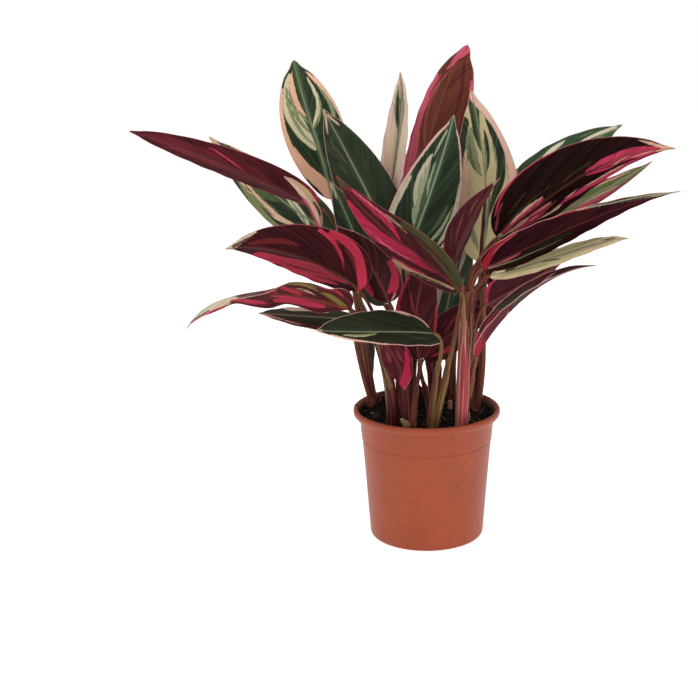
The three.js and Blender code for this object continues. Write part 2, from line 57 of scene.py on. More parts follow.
# Each leaf: its midrib from base to tip, the way its upper side looks, its width, how far its halves fold
# up (at the tip too where that differs) and curl on, how rounded its base and sharp its tip is, how high
# its waves are, and where and how its stalk leaves the shoot and how slim it is.
leaves = {
    # front left
    "leaf_01": {
        "shoot": "shoot_01",
        "rib": [[-99, -10, 319], [-146, -30, 345], [-203, -54, 373], [-251, -75, 392]],
        "face": [0, 0.8, 0.6], "faceTip": [-0.3, 0.9, 0.2], "width": 36, "fold": [56, 40],
        "foldTip": [74, 38], "start": [-1, -2, -3], "leave": [-0.3, -0.1, 1], "slim": 0.72,
    },
    "leaf_03": {
        "shoot": "shoot_02", "rib": [[-96, -36, 303], [-109, -44, 331], [-124, -52, 351]],
        "face": [0.9, -0.3, 0.3], "width": 18, "fold": [50, 50], "curl": [30, 30], "start": [-2, 1, -3],
    },
    "leaf_04": {
        "shoot": "shoot_02",
        "rib": [[-60, -50, 249], [-86, -70, 273], [-125, -96, 294], [-167, -118, 299]],
        "face": [-0.1, 0.8, 0.5], "faceTip": [-0.4, 0.8, 0.4], "width": 67, "fold": [28, 41],
        "shape": [0.5, 1], "start": [-1, -3, -3],
    },
    "leaf_05": {
        "shoot": "shoot_03", "rib": [[-34, -34, 235], [-44, -44, 260], [-57, -56, 285], [-78, -70, 311]],
        "face": [0.2, 0.9, 0.4], "width": 42, "fold": [20, 20], "start": [-2, 0, -3],
    },
    "leaf_06": {
        "shoot": "shoot_02",
        "rib": [[-68, -75, 238], [-108, -102, 256], [-159, -130, 262], [-197, -150, 238]],
        "face": [0, 0.6, 0.8], "faceTip": [-0.5, 0.5, 0.6], "width": 46, "fold": [32, 15],
        "curl": [-25, -25], "wave": 3, "foldTip": [-45, 12], "start": [2, -2, -3],
    },
    "leaf_07": {
        "shoot": "shoot_03", "rib": [[-56, -35, 219], [-104, -60, 228], [-146, -85, 237]],
        "face": [0.3, -0.2, 0.9], "width": 42, "fold": [5, 5], "start": [-1, 3, -3],
    },
    "leaf_08": {
        "shoot": "shoot_04", "rib": [[5, -84, 218], [-24, -106, 225], [-58, -138, 233], [-89, -165, 241]],
        "face": [0.4, -0.1, 0.9], "faceTip": [0.4, -0.3, 0.9], "width": 57, "fold": [20, 20],
        "shape": [0.28, 0.8], "start": [-1, -3, -3],
    },
    "leaf_27": {
        "shoot": "shoot_02", "rib": [[-38, -62, 204], [-25, -68, 186], [-20, -74, 164]],
        "face": [0.3, 1, -0.1], "width": 28, "fold": [20, 20], "start": [3, 0, -3],
    },
    # middle
    "leaf_10": {
        "shoot": "shoot_07", "rib": [[-18, 20, 250], [-49, 32, 312], [-74, 40, 360], [-97, 45, 403]],
        "face": [0, -1, 0.2], "width": 54, "fold": [15, 15], "start": [-3, 0, -3],
    },
    "leaf_11": {
        "shoot": "shoot_03", "rib": [[-38, -5, 227], [-54, -4, 261], [-70, -6, 302], [-87, -10, 342]],
        "face": [0.3, -1, 0.1], "width": 38, "fold": [20, 20], "start": [-1, 2, -3],
        "leave": [-0.3, 0.2, 1],
    },
    "leaf_12": {
        "shoot": "shoot_04", "rib": [[30, -52, 249], [-3, -74, 281], [-37, -97, 313], [-74, -120, 360]],
        "face": [-0.4, 0.9, 0.2], "width": 43, "fold": [40, 48], "start": [2, -2, -3],
        "leave": [0.2, -0.1, 1], "reach": 0.05,
    },
    "leaf_13": {
        "shoot": "shoot_07", "rib": [[-20, 15, 267], [-6, 15, 302], [10, 18, 347], [25, 20, 399]],
        "face": [0, -1, 0], "width": 62, "fold": [15, 10], "start": [-1, -2, -3],
    },
    "leaf_14": {
        "shoot": "shoot_07", "rib": [[-35, 56, 316], [-30, 60, 355], [-25, 64, 398], [-25, 66, 435]],
        "face": [-0.1, -1, 0.1], "width": 42, "fold": [58, 58], "curl": [0, 0], "start": [-1, 3, -3],
    },
    "leaf_15": {
        "shoot": "shoot_07", "rib": [[-21, 42, 284], [-3, 52, 350], [15, 62, 412], [39, 78, 460]],
        "face": [0.5, 0.8, -0.3], "width": 73, "fold": [66, 36], "shape": [0.5, 0.62],
        "start": [2, 1, -3],
    },
    "leaf_25": {
        "shoot": "shoot_03", "rib": [[-7, -20, 178], [-10, -20, 215], [-5, -21, 248], [7, -22, 285]],
        "face": [0, 1, 0], "width": 40, "fold": [20, 20], "start": [3, 0, -3],
    },
    "leaf_26": {
        "shoot": "shoot_04", "rib": [[-3, -8, 175], [20, 2, 195], [43, 13, 211], [68, 24, 224]],
        "face": [-0.4, 0.9, 0], "width": 42, "fold": [20, 20], "start": [-1, 2, -3], "leave": [0, 0.2, 1],
    },
    "leaf_29": {
        "shoot": "shoot_07", "rib": [[15, 40, 191], [27, 50, 244], [40, 58, 290]], "face": [0, -1, 0.2],
        "width": 38, "fold": [20, 20], "start": [3, 0, -3],
    },
    # right
    "leaf_16": {
        "shoot": "shoot_06", "rib": [[53, 40, 258], [57, 50, 312], [53, 60, 363], [42, 70, 419]],
        "face": [-0.2, -1, 0.2], "width": 66, "fold": [12, 12], "start": [-2, 2, -3],
    },
    "leaf_17": {
        "shoot": "shoot_05", "rib": [[24, -38, 271], [40, -50, 314], [63, -66, 352]],
        "face": [-0.2, 0.9, 0.4], "width": 36, "fold": [60, 60], "shape": [0.5, 1.3],
        "start": [-2, -1, -14],
    },
    "leaf_18": {
        "shoot": "shoot_05", "rib": [[64, -22, 292], [110, -38, 332], [158, -53, 364], [212, -69, 377]],
        "face": [-0.1, 0.9, 0.5], "width": 68, "fold": [35, 35], "shape": [0.5, 1.05],
        "start": [2, 1, -10],
    },
    "leaf_19": {
        "shoot": "shoot_06", "rib": [[73, 62, 301], [125, 74, 348], [190, 86, 385]],
        "face": [-0.3, -0.8, 0.5], "width": 48, "fold": [10, 10], "start": [1, 3, -3],
        "leave": [0.15, 0.1, 1],
    },
    "leaf_20": {
        "shoot": "shoot_06", "rib": [[68, 8, 285], [124, 12, 302], [168, 16, 325], [209, 20, 357]],
        "face": [-0.4, -0.1, 0.9], "width": 50, "fold": [50, 50], "start": [2, 0, -3],
        "leave": [0.2, 0, 1],
    },
    "leaf_21": {
        "shoot": "shoot_05", "rib": [[51, -36, 267], [104, -56, 297], [161, -76, 326], [213, -95, 344]],
        "face": [-0.1, 0.7, 0.7], "faceTip": [-0.2, 0.3, 0.9], "width": 58, "fold": [15, 15],
        "start": [2, -2, -20],
    },
    "leaf_22": {
        "shoot": "shoot_05", "rib": [[58, -20, 257], [102, -36, 273], [143, -52, 290], [176, -64, 299]],
        "face": [-0.4, -0.2, 0.9], "width": 36, "fold": [10, 10], "start": [1, 2, -26],
    },
    "leaf_23": {
        "shoot": "shoot_05", "rib": [[56, -8, 228], [86, -12, 246], [124, -16, 269]],
        "face": [-0.2, 0.8, 0.5], "width": 36, "fold": [20, 34], "start": [0, 2, -92],
        "leave": [0.2, 0.3, 1],
    },
    "leaf_24": {
        "shoot": "shoot_05", "rib": [[46, -45, 188], [68, -58, 226], [103, -72, 261], [146, -86, 279]],
        "face": [-0.9, -0.1, 0.5], "faceTip": [-0.4, 0, 0.9], "width": 30, "fold": [52, 52],
        "foldTip": [20, 20], "curl": [-10, -10], "start": [2, 2, -100], "leave": [0.2, 0, 1],
    },
    "leaf_35": {
        "shoot": "shoot_05", "rib": [[56, -2, 246], [78, -2, 257], [112, -2, 278]],
        "face": [-0.1, 0.9, 0.3], "width": 34, "fold": [20, 20], "start": [1, 3, -62],
        "leave": [0.1, 0.2, 1],
    },
    "leaf_28": {
        "shoot": "shoot_05", "rib": [[49, -8, 267], [51, -14, 303], [53, -20, 335]],
        "face": [0.1, 1, 0.2], "width": 24, "fold": [75, 75], "curl": [20, 20], "start": [0, 0, -12],
    },
    # back
    "leaf_02": {
        "shoot": "shoot_01", "rib": [[-87, 34, 285], [-143, 46, 321], [-207, 58, 376]],
        "face": [-0.2, -0.9, 0.2], "width": 50, "fold": [12, 20], "start": [2, 1, -3],
        "leave": [-0.2, 0.1, 1], "slim": 0.72,
    },
    "leaf_09": {
        "shoot": "shoot_01", "rib": [[-92, 74, 314], [-106, 89, 364], [-119, 101, 404], [-130, 112, 445]],
        "face": [0, -1, 0.3], "width": 61, "fold": [28, 12], "shape": [0.6, 0.76], "start": [-2, 2, -3],
        "leave": [-0.1, 0.2, 1], "slim": 0.72,
    },
    "leaf_30": {
        "shoot": "shoot_08", "rib": [[-58, 70, 182], [-61, 76, 152], [-55, 80, 128]],
        "face": [0.5, 0.8, 0.3], "width": 20, "fold": [15, 15], "start": [-3, 0, -3],
    },
    "leaf_31": {
        "shoot": "shoot_08", "rib": [[-55, 75, 225], [-110, 112, 255], [-170, 145, 255]],
        "face": [0.2, -0.2, 1], "width": 48, "fold": [15, 15], "start": [-2, 2, -3],
    },
    "leaf_32": {
        "shoot": "shoot_08", "rib": [[-30, 85, 260], [-48, 145, 310], [-62, 210, 325]],
        "face": [0, -0.4, 0.9], "width": 50, "fold": [15, 15], "start": [0, 3, -3],
    },
    "leaf_33": {
        "shoot": "shoot_09", "rib": [[15, 90, 265], [14, 155, 312], [10, 228, 325]],
        "face": [0, -0.4, 0.9], "width": 54, "fold": [15, 15], "start": [-2, 2, -3],
    },
    "leaf_34": {
        "shoot": "shoot_09", "rib": [[45, 80, 262], [72, 135, 300], [105, 195, 315]],
        "face": [-0.2, -0.4, 0.9], "width": 46, "fold": [15, 15], "start": [1, 3, -3],
    },
    "leaf_36": {
        "shoot": "shoot_08", "rib": [[-5, 88, 195], [-10, 150, 222], [-18, 215, 205]],
        "face": [0, -0.1, 1], "width": 44, "fold": [10, 10], "start": [2, 2, -3],
    },
    "leaf_37": {
        "shoot": "shoot_09", "rib": [[30, 88, 176], [55, 138, 195], [85, 192, 188]], "face": [0, -0.1, 1],
        "width": 42, "fold": [10, 10], "start": [2, -2, -3],
    },
}


# A colour given as a screen shows it, 0 to 255.
def tint(red, green, blue):
    parts = [part / 255 for part in (red, green, blue)]
    linear = [part / 12.92 if part < 0.04 else ((part + 0.055) / 1.055) ** 2.4 for part in parts]
    return (*linear, 1)


# Gives a node's sockets a value or links another node's output to them.
def fill(tree, node, inputs):
    for socket, value in inputs.items():
        if isinstance(value, bpy.types.NodeSocket):
            tree.links.new(value, node.inputs[socket])
        else:
            node.inputs[socket].default_value = value


def addNode(tree, kind, inputs={}, **settings):
    node = tree.nodes.new(kind)
    for name, value in settings.items():
        setattr(node, name, value)
    fill(tree, node, inputs)
    return node


def calculate(tree, operation, a, b=0.0, c=0.0):
    return addNode(tree, "ShaderNodeMath", {0: a, 1: b, 2: c}, operation=operation).outputs[0]


def blendColour(tree, share, first, second):
    inputs = {0: share, 6: first, 7: second}
    return addNode(tree, "ShaderNodeMix", inputs, data_type="RGBA").outputs[2]


# 0 up to low, 1 from high on, smooth between them.
def ease(tree, value, low, high):
    inputs = {0: value, 1: low, 2: high}
    return addNode(tree, "ShaderNodeMapRange", inputs, interpolation_type="SMOOTHSTEP").outputs[0]


def speckle(tree, place, scale, detail=2.0, roughness=0.5):
    inputs = {"Vector": place, "Scale": scale, "Detail": detail, "Roughness": roughness}
    return addNode(tree, "ShaderNodeTexNoise", inputs).outputs["Fac"]


# A place stretched by (x, y, z) factors, or a colour dimmed by a value.
def scaled(tree, vector, factors):
    inputs = {0: vector, 1: factors}
    return addNode(tree, "ShaderNodeVectorMath", inputs, operation="MULTIPLY").outputs[0]


# least at low and under it, most at high and over it, in a straight line between them.
def ranged(tree, value, low, high, least=0.0, most=1.0):
    inputs = {0: value, 1: low, 2: high, 3: least, 4: most}
    return addNode(tree, "ShaderNodeMapRange", inputs).outputs[0]


def product(tree, a, b):
    return calculate(tree, "MULTIPLY", a, b)


def axesOf(tree, vector):
    return addNode(tree, "ShaderNodeSeparateXYZ", {0: vector}).outputs


def keptVector(tree, name):
    return addNode(tree, "ShaderNodeAttribute", attribute_name=name).outputs["Vector"]


def objectPlace(tree):
    return addNode(tree, "ShaderNodeTexCoord").outputs["Object"]


def newGroup(name, inputs, outputs):
    group = bpy.data.node_groups.new(name, "ShaderNodeTree")
    for label in inputs:
        group.interface.new_socket(name=label, in_out="INPUT", socket_type="NodeSocketFloat")
    for label in outputs:
        group.interface.new_socket(name=label, in_out="OUTPUT", socket_type="NodeSocketFloat")
    return group


def useGroup(tree, group, values):
    return addNode(tree, "ShaderNodeGroup", values, node_tree=group).outputs


def newMaterial(name):
    material = bpy.data.materials.new(name)
    material.use_nodes = True
    tree = material.node_tree
    return material, tree, tree.nodes["Principled BSDF"]


def roughen(tree, shader, height, strength, distance):
    inputs = {"Height": height, "Strength": strength, "Distance": distance}
    bump = addNode(tree, "ShaderNodeBump", inputs)
    fill(tree, shader, {"Normal": bump.outputs[0]})


def deselectAll():
    bpy.ops.object.select_all(action="DESELECT")


def selectOnly(*pieces):
    deselectAll()
    for piece in pieces:
        piece.select_set(True)
    bpy.context.view_layer.objects.active = pieces[0]


# A grid of cells whose corners are moved by place(u, v): u across and v along, both from 0 to 1.
def shapedGrid(name, across, along, place):
    deselectAll()
    bpy.ops.mesh.primitive_grid_add(x_subdivisions=across, y_subdivisions=along, size=1, calc_uvs=True)
    piece = bpy.context.active_object
    piece.name = name
    piece.data.name = name
    for vertex in piece.data.vertices:
        vertex.co = place(vertex.co.x + 0.5, vertex.co.y + 0.5)
    return piece


# Keeps a vector at each vertex for the materials to read.
def keepVectors(piece, name, vectors):
    attribute = piece.data.attributes.new(name, "FLOAT_VECTOR", "POINT")
    attribute.data.foreach_set("vector", [part for vector in vectors for part in vector])


def applyModifier(piece, kind, **settings):
    modifier = piece.modifiers.new(kind.lower(), kind)
    for name, value in settings.items():
        setattr(modifier, name, value)
    selectOnly(piece)
    bpy.ops.object.modifier_apply(modifier=modifier.name)


# Merges a shape's seams and poles and turns its faces outwards.
def closeSeams(piece):
    selectOnly(piece)
    bpy.ops.object.mode_set(mode="EDIT")
    bpy.ops.mesh.select_all(action="SELECT")
    bpy.ops.mesh.remove_doubles(threshold=0.01 * mm)
    bpy.ops.mesh.normals_make_consistent(inside=False)
    bpy.ops.object.mode_set(mode="OBJECT")


def smoothShading(piece, degrees):
    selectOnly(piece)
    bpy.ops.object.shade_smooth_by_angle(angle=math.radians(degrees))


def joinPieces(name, pieces):
    selectOnly(*pieces)
    bpy.ops.object.join()
    joined = bpy.context.active_object
    joined.name = name
    joined.data.name = name
    return joined


def putOn(piece, node):
    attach(piece, "root")
    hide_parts(node)


# The cubic curve through 3 or 4 evenly spaced points, as its four handles.
def curveThrough(points):
    p = [Vector(point) for point in points]
    if len(p) == 3:
        middle = 2 * p[1] - (p[0] + p[2]) / 2
        return [p[0], (p[0] + 2 * middle) / 3, (p[2] + 2 * middle) / 3, p[2]]
    first = (-5 * p[0] + 18 * p[1] - 9 * p[2] + 2 * p[3]) / 6
    second = (2 * p[0] - 9 * p[1] + 18 * p[2] - 5 * p[3]) / 6
    return [p[0], first, second, p[3]]


def pointOn(curve, t):
    a, b, c, d = curve
    s = 1 - t
    return s**3 * a + 3 * s * s * t * b + 3 * s * t * t * c + t**3 * d


def directionOn(curve, t):
    a, b, c, d = curve
    s = 1 - t
    return (s * s * (b - a) + 2 * s * t * (c - b) + t * t * (d - c)).normalized()


def lengthOf(curve):
    steps = 40
    points = [pointOn(curve, i / steps) for i in range(steps + 1)]
    return sum((b - a).length for a, b in zip(points, points[1:]))


def between(a, b, share):
    return a + (b - a) * share


# Sheet coordinates kept on a blade, in millimetres: leafSpot holds the distance along the midrib at which
# the side vein through a point leaves it, the distance from the midrib, and a number for the leaf's side;
# leafPaint how far inside a cream, a rose and a sage field a point lies; leafEdge its distance from the
# margin, the midrib's half width there, and how far inside a field of the leaf's second tone it lies.
leafMarks = newGroup(
    "leafMarks", ["Feather"],
    ["Cream", "Rose", "Sage", "Tone", "Rib", "Margin", "Glow", "Veins", "Streaks", "Pleats", "Cloud"])


def buildLeafMarks():
    tree = leafMarks
    given = tree.nodes.new("NodeGroupInput")
    made = tree.nodes.new("NodeGroupOutput")
    spot, paint, edge = (keptVector(tree, name) for name in ("leafSpot", "leafPaint", "leafEdge"))
    inCream, inRose, inSage = axesOf(tree, paint)
    toMargin, ribHalf, inTone = axesOf(tree, edge)
    veinStart, fromRib, _ = axesOf(tree, spot)
    coarse = speckle(tree, scaled(tree, spot, (0.3, 0.026, 1)), 1, 2)
    fine = speckle(tree, scaled(tree, spot, (1.7, 0.06, 1)), 1, 1)
    ragged = calculate(tree, "ADD", calculate(tree, "SUBTRACT", coarse, 0.5),
                       product(tree, calculate(tree, "SUBTRACT", fine, 0.5), 0.4))
    ragged = product(tree, ragged, given.outputs["Feather"])
    for label, field in (("Cream", inCream), ("Rose", inRose), ("Sage", inSage), ("Tone", inTone)):
        fill(tree, made, {label: ease(tree, calculate(tree, "ADD", field, ragged), -0.5, 0.5)})
    rib = calculate(tree, "SUBTRACT", ribHalf, fromRib)
    margin = calculate(tree, "ADD", toMargin, product(tree, ragged, 0.15))
    glow = calculate(tree, "ADD", fromRib, product(tree, ragged, -1.4))
    fill(tree, made, {
        "Rib": ease(tree, rib, -0.45, 0.3), "Margin": ease(tree, margin, 0.8, 0.35),
        "Glow": ease(tree, glow, 5.0, 0.4), "Veins": fine,
        "Streaks": speckle(tree, scaled(tree, spot, (0.25, 0.02, 1)), 1, 2),
        "Pleats": calculate(tree, "SINE", product(tree, veinStart, 2 * math.pi / 5.5)),
        "Cloud": speckle(tree, scaled(tree, spot, (0.05, 0.06, 1)), 1, 3, 0.6),
    })


buildLeafMarks()

upperLook = {
    "dark": (46, 60, 38), "deep": (30, 42, 27), "sage": (112, 126, 88), "tone": (66, 84, 50),
    "cream": (196, 188, 150), "rose": (222, 172, 150), "rib": (120, 134, 102), "margin": (190, 148, 136),
    "glow": 0.6, "ribShow": 0.85, "marginShow": 0.75, "feather": 1.6, "vary": 0.3, "hatch": 0.08,
    "roughness": 0.46, "shine": 0.12,
}
underLook = {
    "dark": (84, 27, 36), "deep": (52, 20, 27), "sage": (124, 44, 52), "tone": (100, 88, 44),
    "cream": (196, 160, 132), "rose": (182, 48, 76), "rib": (122, 62, 44), "margin": (170, 80, 90),
    "glow": 0.0, "ribShow": 0.45, "marginShow": 0.5, "feather": 1.8, "vary": 0.1, "hatch": 0.28,
    "roughness": 0.52, "shine": 0.05,
}


# The finish of one face of a blade. look gives its colours, and changes what differs from them.
def leafFinish(name, look, changes):
    values = {**look, **changes}
    colour = {key: tint(*value) for key, value in values.items() if isinstance(value, tuple)}
    material, tree, shader = newMaterial(name)
    marks = useGroup(tree, leafMarks, {"Feather": values["feather"]})
    shade = ease(tree, marks["Cloud"], 0.35, 0.7)
    lit = calculate(tree, "MULTIPLY_ADD", ease(tree, marks["Streaks"], 0.28, 0.52), 0.4, 0.6)
    shade = product(tree, shade, lit)
    tissue = blendColour(tree, shade, colour["deep"], colour["dark"])
    share = product(tree, marks["Glow"], values["glow"])
    tissue = blendColour(tree, share, tissue, colour["tone"])
    share = product(tree, ease(tree, marks["Streaks"], 0.48, 0.75), values["vary"])
    tissue = blendColour(tree, share, tissue, colour["tone"])
    for field in ("tone", "sage", "cream", "rose"):
        tissue = blendColour(tree, marks[field.capitalize()], tissue, colour[field])
    veined = ranged(tree, marks["Veins"], 0.3, 0.7, 0.92, 1.07)
    broad = ranged(tree, marks["Streaks"], 0.32, 0.62, 1 - values["hatch"], 1 + values["hatch"] / 2)
    tissue = scaled(tree, tissue, product(tree, veined, broad))
    for field in ("margin", "rib"):
        share = product(tree, marks[field.capitalize()], values[field + "Show"])
        tissue = blendColour(tree, share, tissue, colour[field])
    rough = ranged(tree, marks["Cloud"], 0.3, 0.7)
    rough = calculate(tree, "MULTIPLY_ADD", rough, 0.14, values["roughness"] - 0.07)
    fill(tree, shader, {"Base Color": tissue, "Roughness": rough, "Specular IOR Level": values["shine"]})
    height = calculate(tree, "ADD", marks["Veins"], product(tree, marks["Pleats"], 0.22))
    roughen(tree, shader, height, 0.5, 0.00025)
    return material


leafFinishes = {}


def leafFinishFor(kind, changes):
    key = kind + repr(sorted(changes.items()))
    if key not in leafFinishes:
        look = {"upper": upperLook, "under": underLook}[kind]
        leafFinishes[key] = leafFinish(f"{kind}Leaf{len(leafFinishes) + 1:02d}", look, changes)
    return leafFinishes[key]


# The form of every leaf blade, in millimetres and degrees.
bladeForm = {
    "cell": 1.5, "thickness": 0.5,  # the size of a cell of a blade's sheet, and how thick it is
    "baseHalf": 1.3, "tipHalf": 0.12,  # half width at the stalk and at the tip
    "roundness": 0.5, "sharpness": 0.9,  # of the outline at the base and at the tip
    "pinch": 0.26, "pinchAt": 0.955, "pinchLong": 0.04,  # the drawn-out tip
    "curl": (-20, -20), "waves": 3,
    "veinSlope": 1.9, "veinSweep": 0.035,  # how far forward a side vein runs on its way to the margin
    "ribHigh": 0.9, "ribWide": 1.5,  # the midrib's ridge beneath the blade at its base
    "ribHalf": 0.95, "ribTip": 0.22,  # half the midrib's pale line at its base, and what the tip keeps
    "ripple": 0.4, "rippleLength": 23,  # the blade's own gentle unevenness
    "pleat": 0.08, "pleatLength": 9,  # the folds along its side veins
}


def outline(leaf, t):
    roundness, sharpness = leaf.get("shape", (bladeForm["roundness"], bladeForm["sharpness"]))
    widest = roundness / (roundness + sharpness)
    rise = max(t, 0) / widest
    fall = max(1 - t, 0) / (1 - widest)
    return rise ** roundness * fall ** sharpness


def smooth(t):
    return t * t * (3 - 2 * t)


def halfWidth(leaf, t):
    narrowest = between(bladeForm["baseHalf"], bladeForm["tipHalf"], smooth(t))
    pinch = 1 - bladeForm["pinch"] * math.exp(-((t - bladeForm["pinchAt"]) / bladeForm["pinchLong"]) ** 2)
    return narrowest + (leaf["width"] / 2 - narrowest) * outline(leaf, t) * pinch


# A point on the blade's upper side, the normal there and the half width: u from edge to edge, -1 to 1.
def bladePoint(leaf, curve, t, u):
    side = 0 if u < 0 else 1
    sign = -1 if u < 0 else 1
    v = abs(u)
    along = directionOn(curve, t)
    looks = Vector(leaf["face"]).lerp(Vector(leaf.get("faceTip", leaf["face"])), t)
    up = (looks - along * looks.dot(along)).normalized()
    aside = along.cross(up)
    half = halfWidth(leaf, t)
    foldTip = leaf.get("foldTip", leaf["fold"])[side]
    fold = math.radians(between(leaf["fold"][side], foldTip, smooth(t)))
    bend = math.radians(leaf.get("curl", bladeForm["curl"])[side] or 0.1)
    angle = fold + bend * v
    reach = half * (math.sin(angle) - math.sin(fold)) / bend
    lift = half * (math.cos(fold) - math.cos(angle)) / bend
    waveTurn = 2 * math.pi * bladeForm["waves"] * t + 2 * side
    wave = leaf.get("wave", 0) * outline(leaf, t) * v * v * math.sin(waveTurn)
    point = pointOn(curve, t) + aside * sign * reach + up * (lift + wave)
    normal = up * math.cos(angle) - aside * sign * math.sin(angle)
    return point, normal, half


# Columns lie closer together at the midrib, where the ridge is, and a little at the margins.
def columnPlace(x):
    v = abs(x)
    return math.copysign(0.35 * v + 0.65 * v * v * (1.6 - 0.6 * v * v), x)


# A point this far outside a painted field, in millimetres, is as good as anywhere else.
farOut = -9.0


# How far inside a painted field a point lies, in millimetres. A vein field runs along a side vein, a band
# field along the midrib and a stroke along a line of points with their half widths.
def veinField(field, spot):
    _, _, at, width, inner, outer = field
    middle, span = (inner + outer) / 2, (outer - inner) / 2
    away = abs(spot["vein"] - at * spot["length"])
    out = abs(spot["edge"] - middle) / span
    if out < 1:
        return width / 2 * math.sqrt(1 - out * out) - away
    return -away - (out - 1) * span * spot["half"]


def bandField(field, spot):
    _, _, inner, outer, begin, finish = field
    within = min(spot["edge"] - inner, outer - spot["edge"]) * spot["half"]
    ends = min(spot["t"] - begin, finish - spot["t"]) * spot["length"] * 0.22
    return min(within, ends)


def strokeField(field, spot):
    _, line, (left, right, low, high) = field
    x, y = spot["place"]
    if not (left < x < right and low < y < high):
        return farOut
    depth = farOut
    for (ax, ay, a), (bx, by, b) in zip(line, line[1:]):
        dx, dy = bx - ax, by - ay
        share = ((x - ax) * dx + (y - ay) * dy) / (dx * dx + dy * dy + 0.000001)
        share = 0 if share < 0 else 1 if share > 1 else share
        away = math.hypot(x - ax - dx * share, y - ay - dy * share)
        depth = max(depth, a + (b - a) * share - away)
    return depth


paintKinds = ("cream", "rose", "sage", "tone")
paintFields = {"vein": veinField, "band": bandField, "stroke": strokeField}


# The fields at a point; each mark lies over those before it, and a dark one clears them.
def paintedAt(marks, spot):
    fields = [farOut] * len(paintKinds)
    for mark in marks:
        if mark[1] in ("left", "right") and mark[1] != spot["side"]:
            continue
        depth = paintFields[mark[-1]](mark[:-1], spot)
        for i, name in enumerate(paintKinds):
            fields[i] = max(fields[i], depth) if name == mark[0] else min(fields[i], -depth)
    return [max(farOut, min(-farOut, field)) for field in fields]


def vein(kind, side, at, width, inner, outer):
    return (kind, side, at, width, inner, outer, "vein")


def band(kind, side, inner, outer, begin=-1.0, finish=2.0):
    return (kind, side, inner, outer, begin, finish, "band")


# A smooth streak through (t, u) points, its width in millimetres one number or its first and last.
def stroke(kind, width, *points):
    return (kind, width if isinstance(width, tuple) else (width, width), points, "stroke")


# A stroke of each colour.
cream, rose, sage, tone, dark = (partial(stroke, kind) for kind in (*paintKinds, "dark"))

